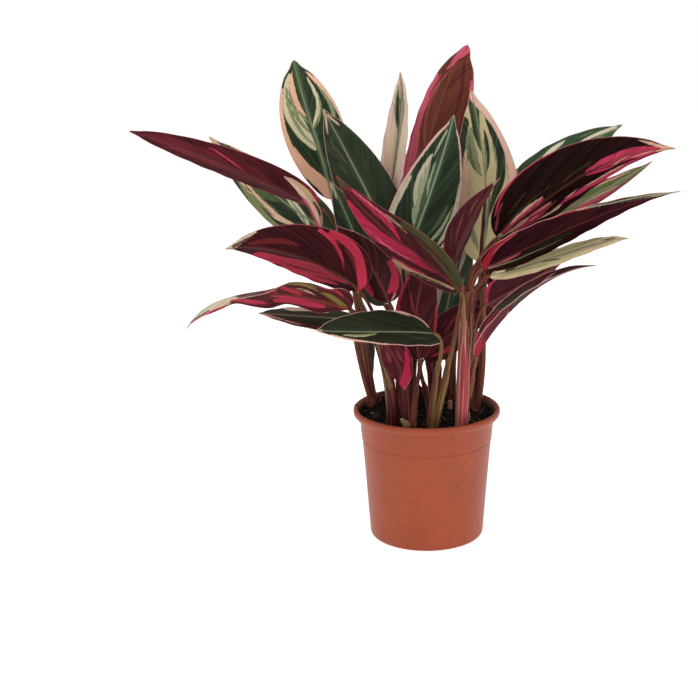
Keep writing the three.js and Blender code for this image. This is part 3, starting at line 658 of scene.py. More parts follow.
# What is painted on each blade, and how its colours differ from the usual ones.
bladeLooks = {
    "leaf_01": {
        "marks": [
            band("tone", "both", 0, 1.2, -1, 0.1),
            sage((5, 8), (0.42, 0.3), (0.62, 0.3), (0.88, 0.1)),
            sage((5, 7), (0.5, -0.2), (0.68, -0.35), (0.9, -0.3)),
            rose((1.6, 3.4), (0.41, -0.02), (0.47, -0.25), (0.54, -0.48), (0.62, -0.72)),
            rose(2.4, (0.02, -0.8), (0.06, -0.96), (0.15, -1)),
        ],
        "under": {
            "dark": (86, 29, 36), "deep": (60, 22, 28), "sage": (98, 32, 41), "tone": (104, 58, 40),
            "rose": (168, 50, 76), "rib": (104, 44, 46), "shine": 0.03,
        },
    },
    "leaf_02": {
        "marks": [
            sage((4, 6), (0.2, -0.75), (0.36, -0.92), (0.55, -0.86), (0.74, -0.76)),
            rose((5, 7), (0.28, -0.45), (0.42, -0.62), (0.6, -0.56), (0.8, -0.6)),
            sage(2, (0.42, -0.62), (0.56, -0.66), (0.7, -0.58)),
            tone(2, (0.4, -0.4), (0.52, -0.46), (0.66, -0.42)),
            tone((4, 7), (0.46, -0.1), (0.56, -0.26), (0.7, -0.3)),
            rose(3, (0.62, -0.26), (0.74, -0.4), (0.9, -0.45)),
            cream((6, 7), (0.2, -0.24), (0.28, -0.02), (0.38, 0.18), (0.52, 0.4)),
            sage(2, (0.23, -0.2), (0.31, 0.02), (0.42, 0.24)),
            tone((4, 5), (0.55, 0.7), (0.78, 0.68), (0.93, 0.45)),
            cream(2, (0.7, 0.4), (0.88, 0.3)),
            rose((3, 4), (0.88, 0), (1, 0)),
            band("rose", "right", 0.9, 1.2, 0.3, 2),
        ],
        "upper": {
            "dark": (44, 56, 34), "sage": (118, 122, 82), "rose": (212, 176, 146), "tone": (78, 92, 56),
            "cream": (196, 192, 162),
        },
    },
    "leaf_03": {
        "marks": [
            band("cream", "both", 0, 1.2),
            rose((7, 4), (0, 0), (0.3, -0.1), (0.56, -0.25)),
            tone(3, (0.12, 0.75), (0.4, 0.7)),
            sage(2, (0.5, 0.4), (0.8, 0.2)),
        ],
        "upper": {"cream": (210, 186, 150), "tone": (96, 48, 44)},
        "under": {"cream": (206, 176, 146), "rose": (190, 70, 100), "tone": (96, 34, 40)},
    },
    "leaf_04": {
        "marks": [
            sage((5, 3), (0.5, 0.06), (0.68, 0.2), (0.92, 0.1)),
            sage((4, 5), (0.56, -0.3), (0.7, -0.34), (0.86, -0.2)),
            tone(3, (0.04, 0.02), (0.16, 0.02), (0.32, 0.02)),
            rose((14, 18), (0.12, 0.14), (0.24, 0.34), (0.4, 0.58), (0.6, 0.85)),
            rose((10, 16), (0.26, 0.06), (0.38, 0.18), (0.47, 0.4), (0.58, 0.66), (0.74, 0.92)),
            rose((6, 12), (0.12, 0.6), (0.28, 0.86), (0.48, 0.98)),
            sage(2, (0.3, 0.5), (0.44, 0.68), (0.6, 0.78)),
            rose((10, 9), (0, -0.3), (0.12, -0.52), (0.26, -0.78), (0.42, -0.96)),
            sage(3, (0.14, -0.36), (0.24, -0.58), (0.34, -0.74)),
            rose((2, 3.4), (0.22, -0.14), (0.3, -0.45), (0.38, -0.66), (0.5, -0.9)),
            band("cream", "both", 0, 1.2, 0.95),
            cream((3, 8), (0.83, -0.98), (0.9, -0.8), (1, -0.3)),
            tone(2.4, (0.84, -0.7), (0.9, -0.5), (0.95, -0.3)),
        ],
        "upper": {"rose": (176, 70, 84), "tone": (96, 112, 70), "margin": (170, 80, 90)},
        "under": {
            "sage": (98, 34, 36), "dark": (66, 24, 30), "deep": (50, 19, 24), "rose": (184, 52, 74),
            "cream": (196, 182, 158), "tone": (92, 66, 44), "rib": (100, 48, 38), "shine": 0.02,
        },
    },
    "leaf_05": {
        "marks": [
            rose((9, 15), (0.14, 0.9), (0.36, 0.78), (0.62, 0.7), (0.92, 0.4)),
            dark((2, 4), (0.34, 0.84), (0.48, 0.7), (0.62, 0.66), (0.8, 0.6)),
            rose((2, 4), (0.42, 0.4), (0.58, 0.42), (0.78, 0.4)),
            rose((7, 6), (0.08, -0.5), (0.24, -0.72), (0.45, -0.86)),
            rose((5, 3), (0.1, -0.2), (0.19, -0.46), (0.34, -0.7)),
            cream(2, (0.02, -0.4), (0.1, -0.66)),
            cream(2, (0.26, 0.9), (0.42, 0.74), (0.5, 0.5)),
            dark(2, (0.3, 0.98), (0.5, 0.94), (0.7, 0.84)),
        ],
        "under": {
            "dark": (68, 26, 32), "deep": (46, 18, 23), "rose": (156, 42, 62), "cream": (196, 110, 116),
        },
    },
    "leaf_06": {
        "marks": [
            tone((4, 5), (0.04, -0.06), (0.14, -0.26), (0.25, -0.46)),
            rose(2.4, (0.1, -0.55), (0.19, -0.8), (0.28, -0.95)),
            tone(3, (0.26, -0.5), (0.36, -0.74), (0.5, -0.9)),
            tone(2, (0.28, -0.75), (0.4, -0.94)),
            cream(2, (0.26, -0.2), (0.34, -0.4), (0.42, -0.5)),
            sage(4, (0.3, -0.2), (0.44, -0.5)),
            rose((4, 5), (0.32, -0.06), (0.42, -0.36), (0.47, -0.7)),
            rose((4, 6), (0.46, -0.1), (0.52, -0.5), (0.54, -0.98)),
            rose((10, 12), (0.14, 0.5), (0.28, 0.6), (0.44, 0.55)),
            rose((3, 5), (0.16, 0.15), (0.34, 0.26), (0.48, 0.25)),
            rose((4, 8), (0.46, 0.75), (0.58, 0.7), (0.68, 0.5)),
            sage(5, (0.03, 0.1), (0.16, 0.2), (0.3, 0.12)),
            band("cream", "both", 0, 1.2, 0.68),
            tone((4, 12), (0.71, 0), (0.8, 0), (0.95, 0)),
            rose((4, 2), (0.7, 0.98), (0.8, 0.92), (0.92, 0.9)),
            rose(2, (0.84, -0.9), (0.95, -0.8)),
        ],
        "upper": {
            "cream": (206, 190, 162), "sage": (150, 158, 134), "tone": (180, 184, 160),
            "rose": (150, 48, 62), "dark": (84, 31, 36), "deep": (62, 26, 31),
        },
        "under": {
            "dark": (84, 31, 36), "deep": (62, 26, 31), "sage": (112, 50, 42), "tone": (112, 98, 52),
            "rose": (156, 46, 64), "cream": (200, 172, 146), "shine": 0.02,
        },
    },
    "leaf_07": {
        "marks": [
            cream((10, 13), (0.3, 0.5), (0.42, 0.72), (0.64, 0.86)),
            rose(4, (0.34, 0.95), (0.5, 0.98), (0.68, 0.96)),
            sage(2, (0.36, 0.62), (0.52, 0.7)),
            tone((2, 3), (0.45, -0.9), (0.6, -0.72), (0.76, -0.66)),
            rose(2, (0.6, -0.85), (0.8, -0.7), (0.95, -0.5)),
        ],
        "upper": {
            "dark": (42, 50, 32), "cream": (206, 180, 154), "rose": (200, 140, 128), "tone": (96, 44, 48),
        },
        "under": {"dark": (96, 40, 50), "rose": (176, 100, 104)},
    },
    "leaf_08": {
        "marks": [
            sage((2, 6), (0.51, -0.03), (0.58, -0.26), (0.67, -0.42), (0.8, -0.46)),
            cream(2, (0.6, -0.34), (0.7, -0.52), (0.82, -0.54)),
            tone(2, (0.58, -0.08), (0.66, -0.26), (0.76, -0.32)),
            tone((3, 2), (0.16, -0.7), (0.25, -0.55), (0.33, -0.3), (0.44, -0.04)),
            rose((3, 2), (0.01, 0.6), (0.05, 0.86), (0.16, 0.96), (0.3, 1)),
            rose((3, 2), (0.13, 0.8), (0.24, 0.94)),
            rose((2, 3), (0.55, -1), (0.75, -0.97), (0.9, -0.9)),
            rose(2, (0.95, 0), (1, 0)),
        ],
        # Its dark and deep tones are painted shade: darker than the usual ones, for the shade deep inside
        # the plant.
        "upper": {
            "dark": (32, 40, 24), "deep": (24, 30, 19), "sage": (122, 130, 86), "tone": (66, 78, 50),
            "cream": (182, 172, 138), "glow": 0.25, "margin": (204, 154, 142),
        },
    },
    "leaf_09": {
        "marks": [
            rose((13, 10), (0.04, -0.12), (0.11, -0.45), (0.2, -0.76), (0.34, -0.92)),
            rose((8, 5), (0.3, -0.92), (0.45, -0.96), (0.62, -0.98), (0.8, -0.97)),
            cream((11, 20), (0.31, -0.12), (0.4, -0.28), (0.52, -0.44), (0.66, -0.56), (0.9, -0.6)),
            sage((2.4, 4), (0.32, -0.04), (0.41, -0.32), (0.54, -0.52), (0.68, -0.64), (0.82, -0.72)),
            sage((2.4, 4), (0.41, -0.05), (0.5, -0.28), (0.61, -0.42), (0.74, -0.5), (0.86, -0.52)),
            sage((2, 3), (0.49, -0.03), (0.56, -0.18), (0.66, -0.3)),
            rose((4, 7), (0.56, -0.08), (0.66, -0.28), (0.78, -0.4), (0.92, -0.42)),
            dark((2, 8), (0.66, -0.03), (0.76, -0.14), (0.88, -0.14), (0.98, 0)),
            tone(3, (0.14, 0), (0.3, 0.02), (0.46, 0.05)),
            cream((2, 5), (0.46, 0), (0.5, 0.1), (0.56, 0.3), (0.66, 0.5), (0.86, 0.55)),
            sage(2, (0.46, 0.08), (0.52, 0.3), (0.61, 0.5), (0.74, 0.62)),
            sage(4, (0.45, 0.72), (0.6, 0.84), (0.8, 0.8)),
            rose((3, 5), (0.45, 0.99), (0.62, 0.97), (0.78, 0.9), (0.9, 0.75)),
        ],
        "upper": {
            "dark": (42, 57, 34), "rose": (228, 176, 146), "cream": (204, 194, 156),
            "sage": (132, 144, 102), "tone": (92, 112, 72),
        },
    },
    "leaf_10": {
        "marks": [
            cream(2, (0.84, -0.62), (0.92, -0.5), (0.99, -0.1)),
            cream(2, (0.85, 0.6), (0.95, 0.38)),
            cream((5, 8), (0, -0.3), (0.1, -0.6), (0.22, -0.85)),
            tone(2, (0.55, -0.35), (0.66, -0.52)),
            tone(2, (0.62, -0.2), (0.76, -0.4)),
            tone(2, (0.72, -0.5), (0.82, -0.5)),
        ],
        "upper": {
            "dark": (50, 61, 40), "deep": (33, 43, 27), "tone": (72, 72, 50), "cream": (188, 160, 134),
        },
    },
    "leaf_11": {
        "marks": [
            cream(2, (0.86, -0.3), (0.97, -0.2)),
            cream((8, 3), (0.36, 0.95), (0.46, 0.6), (0.54, 0.3), (0.58, 0.15)),
        ],
        "upper": {"dark": (48, 60, 44), "cream": (168, 160, 130)},
    },
    "leaf_12": {
        "marks": [
            tone((8, 7), (0, -0.3), (0.12, -0.72), (0.3, -0.86), (0.56, -0.9)),
            tone((4, 2), (0.04, -0.12), (0.18, -0.36), (0.32, -0.5), (0.5, -0.66)),
            cream(2, (0.5, -0.56), (0.6, -0.7), (0.7, -0.76)),
            rose((8, 14), (0.2, 0.1), (0.36, 0.26), (0.54, 0.44), (0.72, 0.66), (0.88, 0.8)),
            rose((7, 10), (0.34, 0.05), (0.46, 0.16), (0.58, 0.3), (0.7, 0.5)),
            rose((4, 6), (0.53, -0.06), (0.62, -0.35), (0.74, -0.52), (0.93, -0.5)),
            sage((2, 2.6), (0.58, -0.45), (0.68, -0.64), (0.8, -0.7), (0.92, -0.7)),
            sage((3, 2), (0.34, 0.3), (0.46, 0.5), (0.58, 0.66), (0.74, 0.8)),
            rose((4, 3), (0.22, 0.5), (0.32, 0.72), (0.46, 0.86)),
            dark((2, 3), (0.14, 0.34), (0.28, 0.52), (0.42, 0.66)),
            dark((3, 8), (0.58, -0.03), (0.7, -0.14), (0.82, -0.06), (0.94, 0.1)),
            cream((3, 5), (0.04, 0.3), (0.14, 0.56), (0.28, 0.82), (0.44, 0.96)),
            tone(2, (0.08, 0.5), (0.18, 0.74), (0.3, 0.92)),
            tone(5, (0.93, -0.1), (1, 0)),
        ],
        "under": {
            "dark": (74, 28, 33), "deep": (52, 23, 27), "tone": (64, 64, 38), "cream": (158, 128, 96),
            "rose": (156, 38, 62), "sage": (188, 84, 100), "rib": (110, 44, 42),
        },
    },
    "leaf_13": {
        "marks": [
            tone((7, 10), (0.26, -0.1), (0.42, -0.16), (0.6, -0.2), (0.8, -0.14)),
            sage((6, 8), (0.28, -0.14), (0.4, -0.27), (0.54, -0.38), (0.7, -0.42)),
            cream((4, 7), (0.4, -0.28), (0.5, -0.45), (0.61, -0.54), (0.76, -0.52)),
            sage(2, (0.46, -0.3), (0.56, -0.44), (0.68, -0.5)),
            sage((2, 3), (0.48, -0.05), (0.6, -0.18), (0.72, -0.24)),
            dark((2, 3), (0.6, -0.22), (0.7, -0.32), (0.82, -0.3)),
            dark(2.2, (0.7, -0.1), (0.8, -0.16), (0.9, -0.12)),
            sage(2, (0.74, -0.4), (0.84, -0.38), (0.92, -0.3)),
            cream((7, 8), (0.24, -0.95), (0.4, -0.92), (0.52, -0.92), (0.58, -0.95)),
            rose((4, 3), (0.34, -1), (0.56, -0.98), (0.75, -0.97), (0.95, -0.92)),
            tone((2, 5), (0.24, 0.34), (0.36, 0.52), (0.5, 0.66)),
            sage((4, 2), (0.2, 0.52), (0.34, 0.68), (0.5, 0.8)),
            cream((5, 3), (0.2, 0.8), (0.36, 0.87), (0.54, 0.93), (0.66, 0.98)),
            rose((4, 2), (0.2, 1), (0.45, 1), (0.7, 1), (0.92, 0.96)),
        ],
        "upper": {
            "rose": (206, 170, 156), "cream": (186, 180, 150), "dark": (43, 57, 37), "deep": (30, 40, 27),
            "sage": (150, 158, 126), "tone": (76, 92, 66), "rib": (142, 156, 128),
        },
    },
    "leaf_14": {
        "marks": [
            band("cream", "both", 0, 1.2),
            rose((5, 9), (0.1, -0.5), (0.3, -0.6), (0.5, -0.75), (0.7, -0.95)),
            rose(6, (0.05, 0.5), (0.25, 0.7), (0.45, 0.8)),
            sage((4, 12), (0.52, 0), (0.62, -0.22), (0.74, -0.35), (0.88, -0.45)),
            dark((3, 6), (0.55, -0.04), (0.64, -0.24), (0.75, -0.38), (0.85, -0.4)),
            sage((3, 6), (0.5, 0.06), (0.62, 0.3), (0.78, 0.45)),
            sage((3, 3), (0.16, 0.02), (0.34, 0.12), (0.54, 0.2), (0.68, 0.4)),
            tone(2, (0.72, 0.1), (0.82, 0.3), (0.92, 0.25)),
            rose(4, (0.76, -0.1), (0.86, -0.2), (0.98, 0)),
        ],
        "upper": {
            "cream": (226, 208, 184), "rose": (230, 196, 182), "sage": (156, 158, 128),
            "tone": (88, 108, 76), "dark": (58, 74, 50),
        },
    },
    "leaf_15": {
        "marks": [
            sage((6, 4), (0.4, 0.08), (0.48, 0.4), (0.6, 0.6), (0.76, 0.5)),
            sage(3, (0.1, 0.1), (0.3, 0.4), (0.46, 0.6)),
            cream((12, 10), (0.1, 0.6), (0.3, 0.74), (0.46, 0.82), (0.62, 0.86), (0.8, 0.74)),
            rose(22, (0.06, 0.74), (0.3, 0.82), (0.45, 0.92)),
            rose((18, 8), (0.4, 0.94), (0.6, 0.96), (0.78, 0.95)),
            rose(2, (0.46, 0.78), (0.6, 0.74), (0.72, 0.62), (0.8, 0.4), (0.83, 0.14)),
            rose((8, 14), (0.83, 0.55), (0.89, 0.34), (0.95, 0.2), (1, 0)),
            cream(2, (0.85, 0.5), (0.92, 0.36)),
            cream(2, (0.26, 0.86), (0.42, 0.93), (0.56, 0.95)),
            rose((9, 5), (0.5, -0.98), (0.64, -0.94), (0.82, -0.95)),
            tone((3, 5), (0.55, -0.5), (0.74, -0.56), (0.92, -0.35)),
            band("rose", "left", 0.95, 1.2),
        ],
        "under": {
            "dark": (106, 54, 41), "deep": (94, 47, 37), "rose": (196, 86, 106), "sage": (138, 68, 52),
            "tone": (84, 36, 38), "rib": (140, 72, 54), "cream": (152, 68, 70), "ribShow": 0.3,
        },
    },
    "leaf_16": {
        "marks": [
            band("cream", "both", 0, 1.2),
            rose((8, 7), (0.2, -0.75), (0.36, -0.68), (0.5, -0.6), (0.62, -0.66)),
            rose(3, (0.58, -0.64), (0.7, -0.62), (0.84, -0.66)),
            dark((10, 12), (0.36, -1.08), (0.54, -0.98), (0.7, -0.92), (0.84, -0.95)),
            sage((5, 15), (0.51, -0.1), (0.6, -0.32), (0.7, -0.4), (0.8, -0.42)),
            tone(2, (0.56, -0.3), (0.66, -0.46), (0.76, -0.5)),
            cream(2, (0.6, -0.06), (0.7, -0.22), (0.8, -0.28)),
            dark((3, 12), (0.65, -0.03), (0.76, -0.14), (0.88, -0.1), (0.98, 0)),
            dark((2, 4.6), (0.54, 0.08), (0.64, 0.2), (0.78, 0.26)),
            sage(2, (0.5, 0.02), (0.62, 0.1), (0.74, 0.14)),
            sage((2, 3), (0.44, 0.3), (0.56, 0.44), (0.7, 0.46)),
            dark((6, 9), (0.24, 0.03), (0.38, 0.25), (0.5, 0.5), (0.66, 0.64), (0.84, 0.56)),
            rose((6, 9), (0.24, 0.34), (0.42, 0.74), (0.62, 0.92), (0.85, 0.92), (1, 0.4)),
            sage(5, (0.06, -0.25), (0.2, -0.5), (0.36, -0.6)),
            tone(2, (0.1, 0.02), (0.26, 0.05), (0.44, 0.12)),
        ],
        "upper": {
            "rose": (218, 178, 156), "cream": (194, 178, 134), "sage": (128, 132, 98),
            "tone": (92, 106, 70), "dark": (43, 55, 36),
        },
    },
    "leaf_17": {
        "marks": [
            sage(2, (0.08, -0.2), (0.3, -0.6), (0.5, -0.85)),
            sage(2, (0.3, -0.15), (0.52, -0.5)),
            rose(2, (0.6, -0.7), (0.8, -0.5)),
            sage(2, (0.2, 0.3), (0.5, 0.62)),
            tone(2, (0.1, 0.5), (0.32, 0.8)),
            cream(3, (0.9, 0), (1, 0)),
            sage(2, (0.5, 0.3), (0.72, 0.5)),
        ],
        "upper": {"cream": (140, 146, 124)},
        "under": {
            "dark": (82, 34, 40), "deep": (60, 24, 31), "sage": (112, 56, 50), "rib": (112, 62, 50),
            "rose": (150, 60, 76), "tone": (70, 50, 40), "cream": (140, 146, 124),
        },
    },
    "leaf_18": {
        "marks": [
            rose((14, 17), (0.06, -0.3), (0.16, -0.38), (0.3, -0.28)),
            cream((7, 9), (0.02, -0.1), (0.1, -0.2), (0.17, -0.22)),
            cream((2, 4), (0.16, -0.14), (0.24, -0.26), (0.31, -0.26)),
            cream(2, (0.14, -0.4), (0.24, -0.5)),
            sage(2, (0.2, -0.5), (0.28, -0.44), (0.34, -0.36)),
            cream((4, 3), (0.18, -0.66), (0.28, -0.74), (0.36, -0.64), (0.44, -0.55)),
            rose((6, 9), (0.3, -0.66), (0.46, -0.76), (0.6, -0.82), (0.82, -0.8)),
            cream((2, 3), (0.44, -0.66), (0.56, -0.74), (0.74, -0.78)),
            dark((4, 10), (0.32, -0.06), (0.4, -0.26), (0.48, -0.42)),
            rose((10, 19), (0.53, -0.1), (0.6, -0.26), (0.7, -0.33), (0.8, -0.34), (0.92, -0.25)),
            dark((6, 2), (0.46, -0.52), (0.58, -0.62), (0.72, -0.64), (0.82, -0.68)),
            sage((2, 3), (0.58, -0.12), (0.66, -0.4), (0.74, -0.5)),
            cream((3, 2), (0.66, -0.46), (0.72, -0.28), (0.78, -0.06)),
            cream((2, 3), (0.76, -0.5), (0.84, -0.4), (0.9, -0.2)),
            rose((4, 8), (0.54, 0.04), (0.66, 0.1), (0.8, 0.12), (0.93, 0.04)),
            rose((3, 5), (0.04, 0.06), (0.16, 0.1), (0.3, 0.06)),
            cream((2, 3), (0.08, 0.1), (0.18, 0.14), (0.3, 0.12)),
            tone(2, (0.03, 0.14), (0.18, 0.22), (0.36, 0.24)),
            tone(2, (0.1, 0.36), (0.26, 0.52)),
            tone(2, (0.4, 0.12), (0.6, 0.26)),
            rose((3, 2), (0.06, 0.8), (0.16, 0.95), (0.3, 1), (0.46, 1)),
            cream((2, 4), (0.83, 0.85), (0.92, 0.5), (1, 0)),
            cream((3, 6), (0.9, -0.5), (1, 0)),
            sage(2, (0.02, 0.5), (0.08, 0.7), (0.14, 0.8)),
        ],
        "upper": {
            "dark": (42, 21, 18), "deep": (34, 17, 15), "rose": (180, 48, 76), "cream": (204, 156, 134),
            "sage": (132, 40, 54), "tone": (56, 42, 28), "glow": 0.06, "shine": 0.0,
        },
        "under": {
            "dark": (44, 22, 22), "deep": (31, 16, 17), "tone": (54, 50, 34), "rose": (180, 56, 84),
            "cream": (204, 160, 134), "sage": (132, 58, 62), "rib": (96, 60, 46), "shine": 0.0,
        },
    },
    "leaf_19": {
        "marks": [
            cream((3, 6), (0.3, -0.3), (0.46, -0.56), (0.64, -0.8)),
            sage(2, (0.22, -0.3), (0.38, -0.6), (0.5, -0.75)),
            cream((2, 4), (0.62, -0.1), (0.78, -0.3), (0.95, -0.2)),
            rose((5, 3), (0.03, -0.6), (0.14, -0.85), (0.3, -0.85)),
            tone(3, (0.4, 0.3), (0.6, 0.5)),
            cream(3, (0.2, 0.3), (0.4, 0.7)),
            tone(2, (0.7, -0.6), (0.84, -0.65)),
        ],
        "upper": {
            "dark": (56, 82, 52), "deep": (40, 64, 40), "cream": (204, 196, 170), "tone": (76, 104, 66),
        },
    },
    "leaf_20": {
        "marks": [
            band("tone", "both", 0.3, 0.95, 0.28),
            rose((5, 4), (0.04, -0.5), (0.2, -0.75), (0.45, -0.9), (0.8, -0.92)),
            rose((3, 3), (0.36, -0.2), (0.5, -0.34), (0.7, -0.34), (0.88, -0.2)),
            cream(2, (0.06, -0.4), (0.2, -0.62), (0.42, -0.72)),
            cream(2, (0.3, -0.46), (0.5, -0.6)),
            cream(2, (0.5, -0.85), (0.7, -0.82), (0.9, -0.75)),
            rose((5, 7), (0.1, 0.3), (0.3, 0.4), (0.5, 0.36), (0.76, 0.2)),
            cream(2, (0.4, 0.62), (0.6, 0.62), (0.76, 0.4)),
            cream(2, (0.94, 0), (1, 0)),
        ],
        "upper": {
            "dark": (110, 38, 56), "deep": (88, 30, 44), "tone": (84, 106, 56), "rose": (156, 52, 76),
            "cream": (200, 150, 130),
        },
        "under": {
            "dark": (120, 36, 58), "deep": (96, 30, 46), "tone": (78, 96, 50), "rose": (140, 44, 66),
            "cream": (196, 132, 126), "rib": (150, 90, 90),
        },
    },
    "leaf_21": {
        "marks": [
            tone((10, 18), (0.2, -0.25), (0.32, -0.38), (0.44, -0.5)),
            tone(5, (0.06, -0.8), (0.25, -0.75), (0.4, -0.85)),
            cream(2.4, (0.02, -0.4), (0.12, -0.5), (0.25, -0.58), (0.38, -0.66)),
            sage((4, 7), (0.02, -0.08), (0.1, -0.22), (0.2, -0.16)),
            rose((8, 6), (0, 0.2), (0.05, 0.5), (0.13, 0.78), (0.24, 0.98)),
            sage(2, (0.08, 0.5), (0.16, 0.76), (0.26, 0.92)),
            cream((4, 9), (0.55, 0.98), (0.64, 0.72), (0.76, 0.5), (0.95, 0.4)),
            tone((2, 4), (0.62, 0.7), (0.72, 0.45), (0.86, 0.3)),
            rose(2, (0.42, 0.98), (0.54, 0.86), (0.62, 0.66)),
        ],
        "upper": {
            "dark": (76, 30, 36), "deep": (56, 24, 28), "tone": (48, 46, 34), "sage": (166, 80, 88),
            "shine": 0.02,
        },
        "under": {
            "dark": (57, 22, 27), "deep": (38, 15, 20), "tone": (38, 34, 27), "rose": (150, 36, 48),
            "rib": (108, 52, 44), "cream": (128, 128, 104), "sage": (166, 80, 88), "shine": 0.0,
        },
    },
    "leaf_22": {
        "marks": [
            band("cream", "both", 0, 1.2),
            dark((5, 13), (0.1, -0.06), (0.15, -0.4), (0.22, -0.9)),
            sage((3, 5), (0, -0.2), (0.05, -0.6), (0.1, -0.8)),
            sage((2, 4), (0.2, -0.2), (0.32, -0.52), (0.46, -0.74)),
            tone((2, 3), (0.34, 0.1), (0.4, 0.3), (0.48, 0.55)),
            sage(2.4, (0.52, -0.3), (0.66, -0.56), (0.78, -0.66)),
            tone((2, 3), (0.66, -0.02), (0.76, -0.2), (0.88, -0.4)),
            sage(2, (0.1, 0.2), (0.25, 0.5), (0.45, 0.7)),
            rose((6, 10), (0.5, 0.3), (0.66, 0.1), (0.82, 0.1)),
            rose(3, (0.55, -0.92), (0.8, -0.9)),
        ],
        "upper": {
            "cream": (244, 230, 176), "sage": (186, 182, 128), "rose": (236, 206, 178),
            "tone": (84, 88, 54),
        },
    },
    "leaf_23": {
        "marks": [
            tone((2, 4), (0.35, -0.88), (0.6, -0.72), (0.9, -0.5)),
            sage((4, 3), (0.3, -0.15), (0.6, -0.22), (0.85, -0.1)),
            band("rose", "both", 0.92, 1.2),
            rose((4, 2), (0, 0.3), (0.08, 0.7), (0.2, 0.85)),
        ],
        "under": {
            "dark": (82, 34, 44), "deep": (52, 21, 30), "sage": (106, 52, 64), "tone": (54, 52, 40),
        },
    },
    "leaf_24": {
        "marks": [
            band("rose", "both", 0, 1.2, -1, 0.15),
            rose((3, 1.6), (0.12, 0.5), (0.26, 0.8), (0.4, 0.95)),
            tone((5, 8), (0.28, -0.8), (0.44, -0.5), (0.6, -0.25)),
            tone((6, 9), (0.43, 0.1), (0.5, 0.42), (0.58, 0.85)),
            cream(2, (0.26, -0.26), (0.35, -0.08), (0.4, 0.2)),
            cream(2, (0.6, -0.06), (0.68, -0.3), (0.75, -0.7)),
            rose(2, (0.18, -0.75), (0.36, -0.62)),
            band("cream", "both", 0.95, 1.2),
        ],
        "upper": {
            "dark": (84, 38, 48), "deep": (62, 28, 36), "tone": (60, 60, 44), "cream": (188, 144, 136),
            "rose": (150, 40, 58),
        },
        "under": {
            "dark": (92, 42, 52), "deep": (68, 30, 39), "rose": (142, 36, 52), "cream": (176, 126, 120),
            "tone": (54, 52, 40), "shine": 0.02,
        },
    },
    "leaf_25": {
        "marks": [
            rose((5, 3), (0.2, 0.85), (0.45, 0.92), (0.7, 0.94)),
            rose(3, (0.1, -0.95), (0.5, -0.98)),
            sage(2, (0.4, 0.1), (0.6, 0.5)),
        ],
        "under": {"rose": (148, 38, 52), "dark": (78, 25, 32), "deep": (54, 19, 25)},
    },
    "leaf_26": {
        "marks": [
            rose((3, 6), (0.06, -0.3), (0.2, -0.55), (0.36, -0.65)),
            rose((2, 5), (0.05, 0.3), (0.15, 0.6), (0.3, 0.85)),
            sage((2, 5), (0.3, 0.2), (0.6, 0.5), (0.85, 0.4)),
        ],
        "under": {
            "rose": (150, 38, 54), "rib": (120, 46, 50), "dark": (76, 28, 34), "deep": (54, 20, 26),
            "sage": (104, 40, 48), "margin": (110, 44, 50), "shine": 0.02,
        },
    },
    "leaf_27": {
        "marks": [
            rose((2, 12), (0.3, 0.9), (0.55, 0.6), (0.8, 0.35), (1, 0.1)),
            sage((2, 5), (0.1, -0.3), (0.4, -0.5)),
            sage((2, 4), (0.2, 0.3), (0.5, 0.3)),
        ],
        "under": {
            "dark": (92, 32, 43), "deep": (66, 24, 34), "rose": (170, 40, 70), "sage": (122, 50, 64),
            "margin": (120, 46, 56), "shine": 0.02,
        },
    },
    "leaf_28": {
        "marks": [sage((2, 6), (0.1, 0.4), (0.6, 0.5))],
        "under": {
            "dark": (62, 32, 40), "deep": (46, 24, 32), "sage": (90, 48, 58), "margin": (92, 44, 50),
            "shine": 0.02,
        },
    },
    "leaf_29": {
        "marks": [
            cream((6, 9), (0.1, -0.7), (0.35, -0.6), (0.7, -0.6)),
            rose(4, (0.3, -0.9), (0.6, -0.9)),
            cream((3, 6), (0.5, 0.2), (0.75, 0.3), (0.95, 0.1)),
            sage(3, (0.3, 0.2), (0.5, 0.6)),
        ],
        "upper": {
            "dark": (66, 80, 62), "deep": (52, 66, 50), "sage": (110, 118, 96), "cream": (168, 160, 142),
        },
    },
    "leaf_30": {
        "marks": [],
        "under": {"dark": (44, 52, 40), "deep": (30, 38, 30)},
        "upper": {"dark": (44, 58, 40)},
    },
    "leaf_31": {"marks": [], "wild": 9},
    "leaf_32": {"marks": [cream((3, 7), (0.2, -0.2), (0.5, -0.6), (0.8, -0.6))], "wild": 7},
    "leaf_33": {"marks": [cream((3, 8), (0.15, 0.15), (0.4, 0.5), (0.7, 0.6))], "wild": 8},
    "leaf_34": {"marks": [rose((4, 8), (0.1, 0.6), (0.4, 0.85), (0.8, 0.8))], "wild": 8},
    "leaf_35": {
        "marks": [
            rose((8, 4), (0, -0.2), (0.12, -0.5), (0.3, -0.7)),
            rose(4, (0, 0.3), (0.15, 0.7)),
            rose(2, (0.3, 0.95), (0.7, 0.9)),
        ],
        "under": {"dark": (70, 27, 35), "deep": (47, 20, 27), "rose": (156, 40, 58)},
    },
    "leaf_36": {"marks": [cream((3, 6), (0.2, 0.2), (0.5, 0.6), (0.7, 0.8))], "wild": 8},
    "leaf_37": {"marks": [rose((4, 7), (0.1, 0.6), (0.5, 0.85))], "wild": 9},
}


# Streaks along the side veins that a leaf grows at random.
def randomStreaks(number, broad):
    chance = random.Random(900 + number)
    streaks = []
    for _ in range(broad):
        kind = chance.choice(("cream", "cream", "sage", "rose", "tone"))
        inner = chance.uniform(0, 0.3)
        streaks.append(vein(kind, chance.choice(("left", "right")), chance.uniform(-0.25, 0.75),
                            chance.uniform(2, 9), inner, inner + chance.uniform(0.5, 1.1)))
    return streaks


# How much a streak thins, a share of the way along it, towards an end that lies within the blade.
def thinned(points, share):
    for place, (t, u) in ((share, points[0]), (1 - share, points[-1])):
        if abs(u) < 0.86 and 0.05 < t < 0.95 and place < 0.35:
            return 1 - 0.85 * (1 - place / 0.35) ** 1.6
    return 1


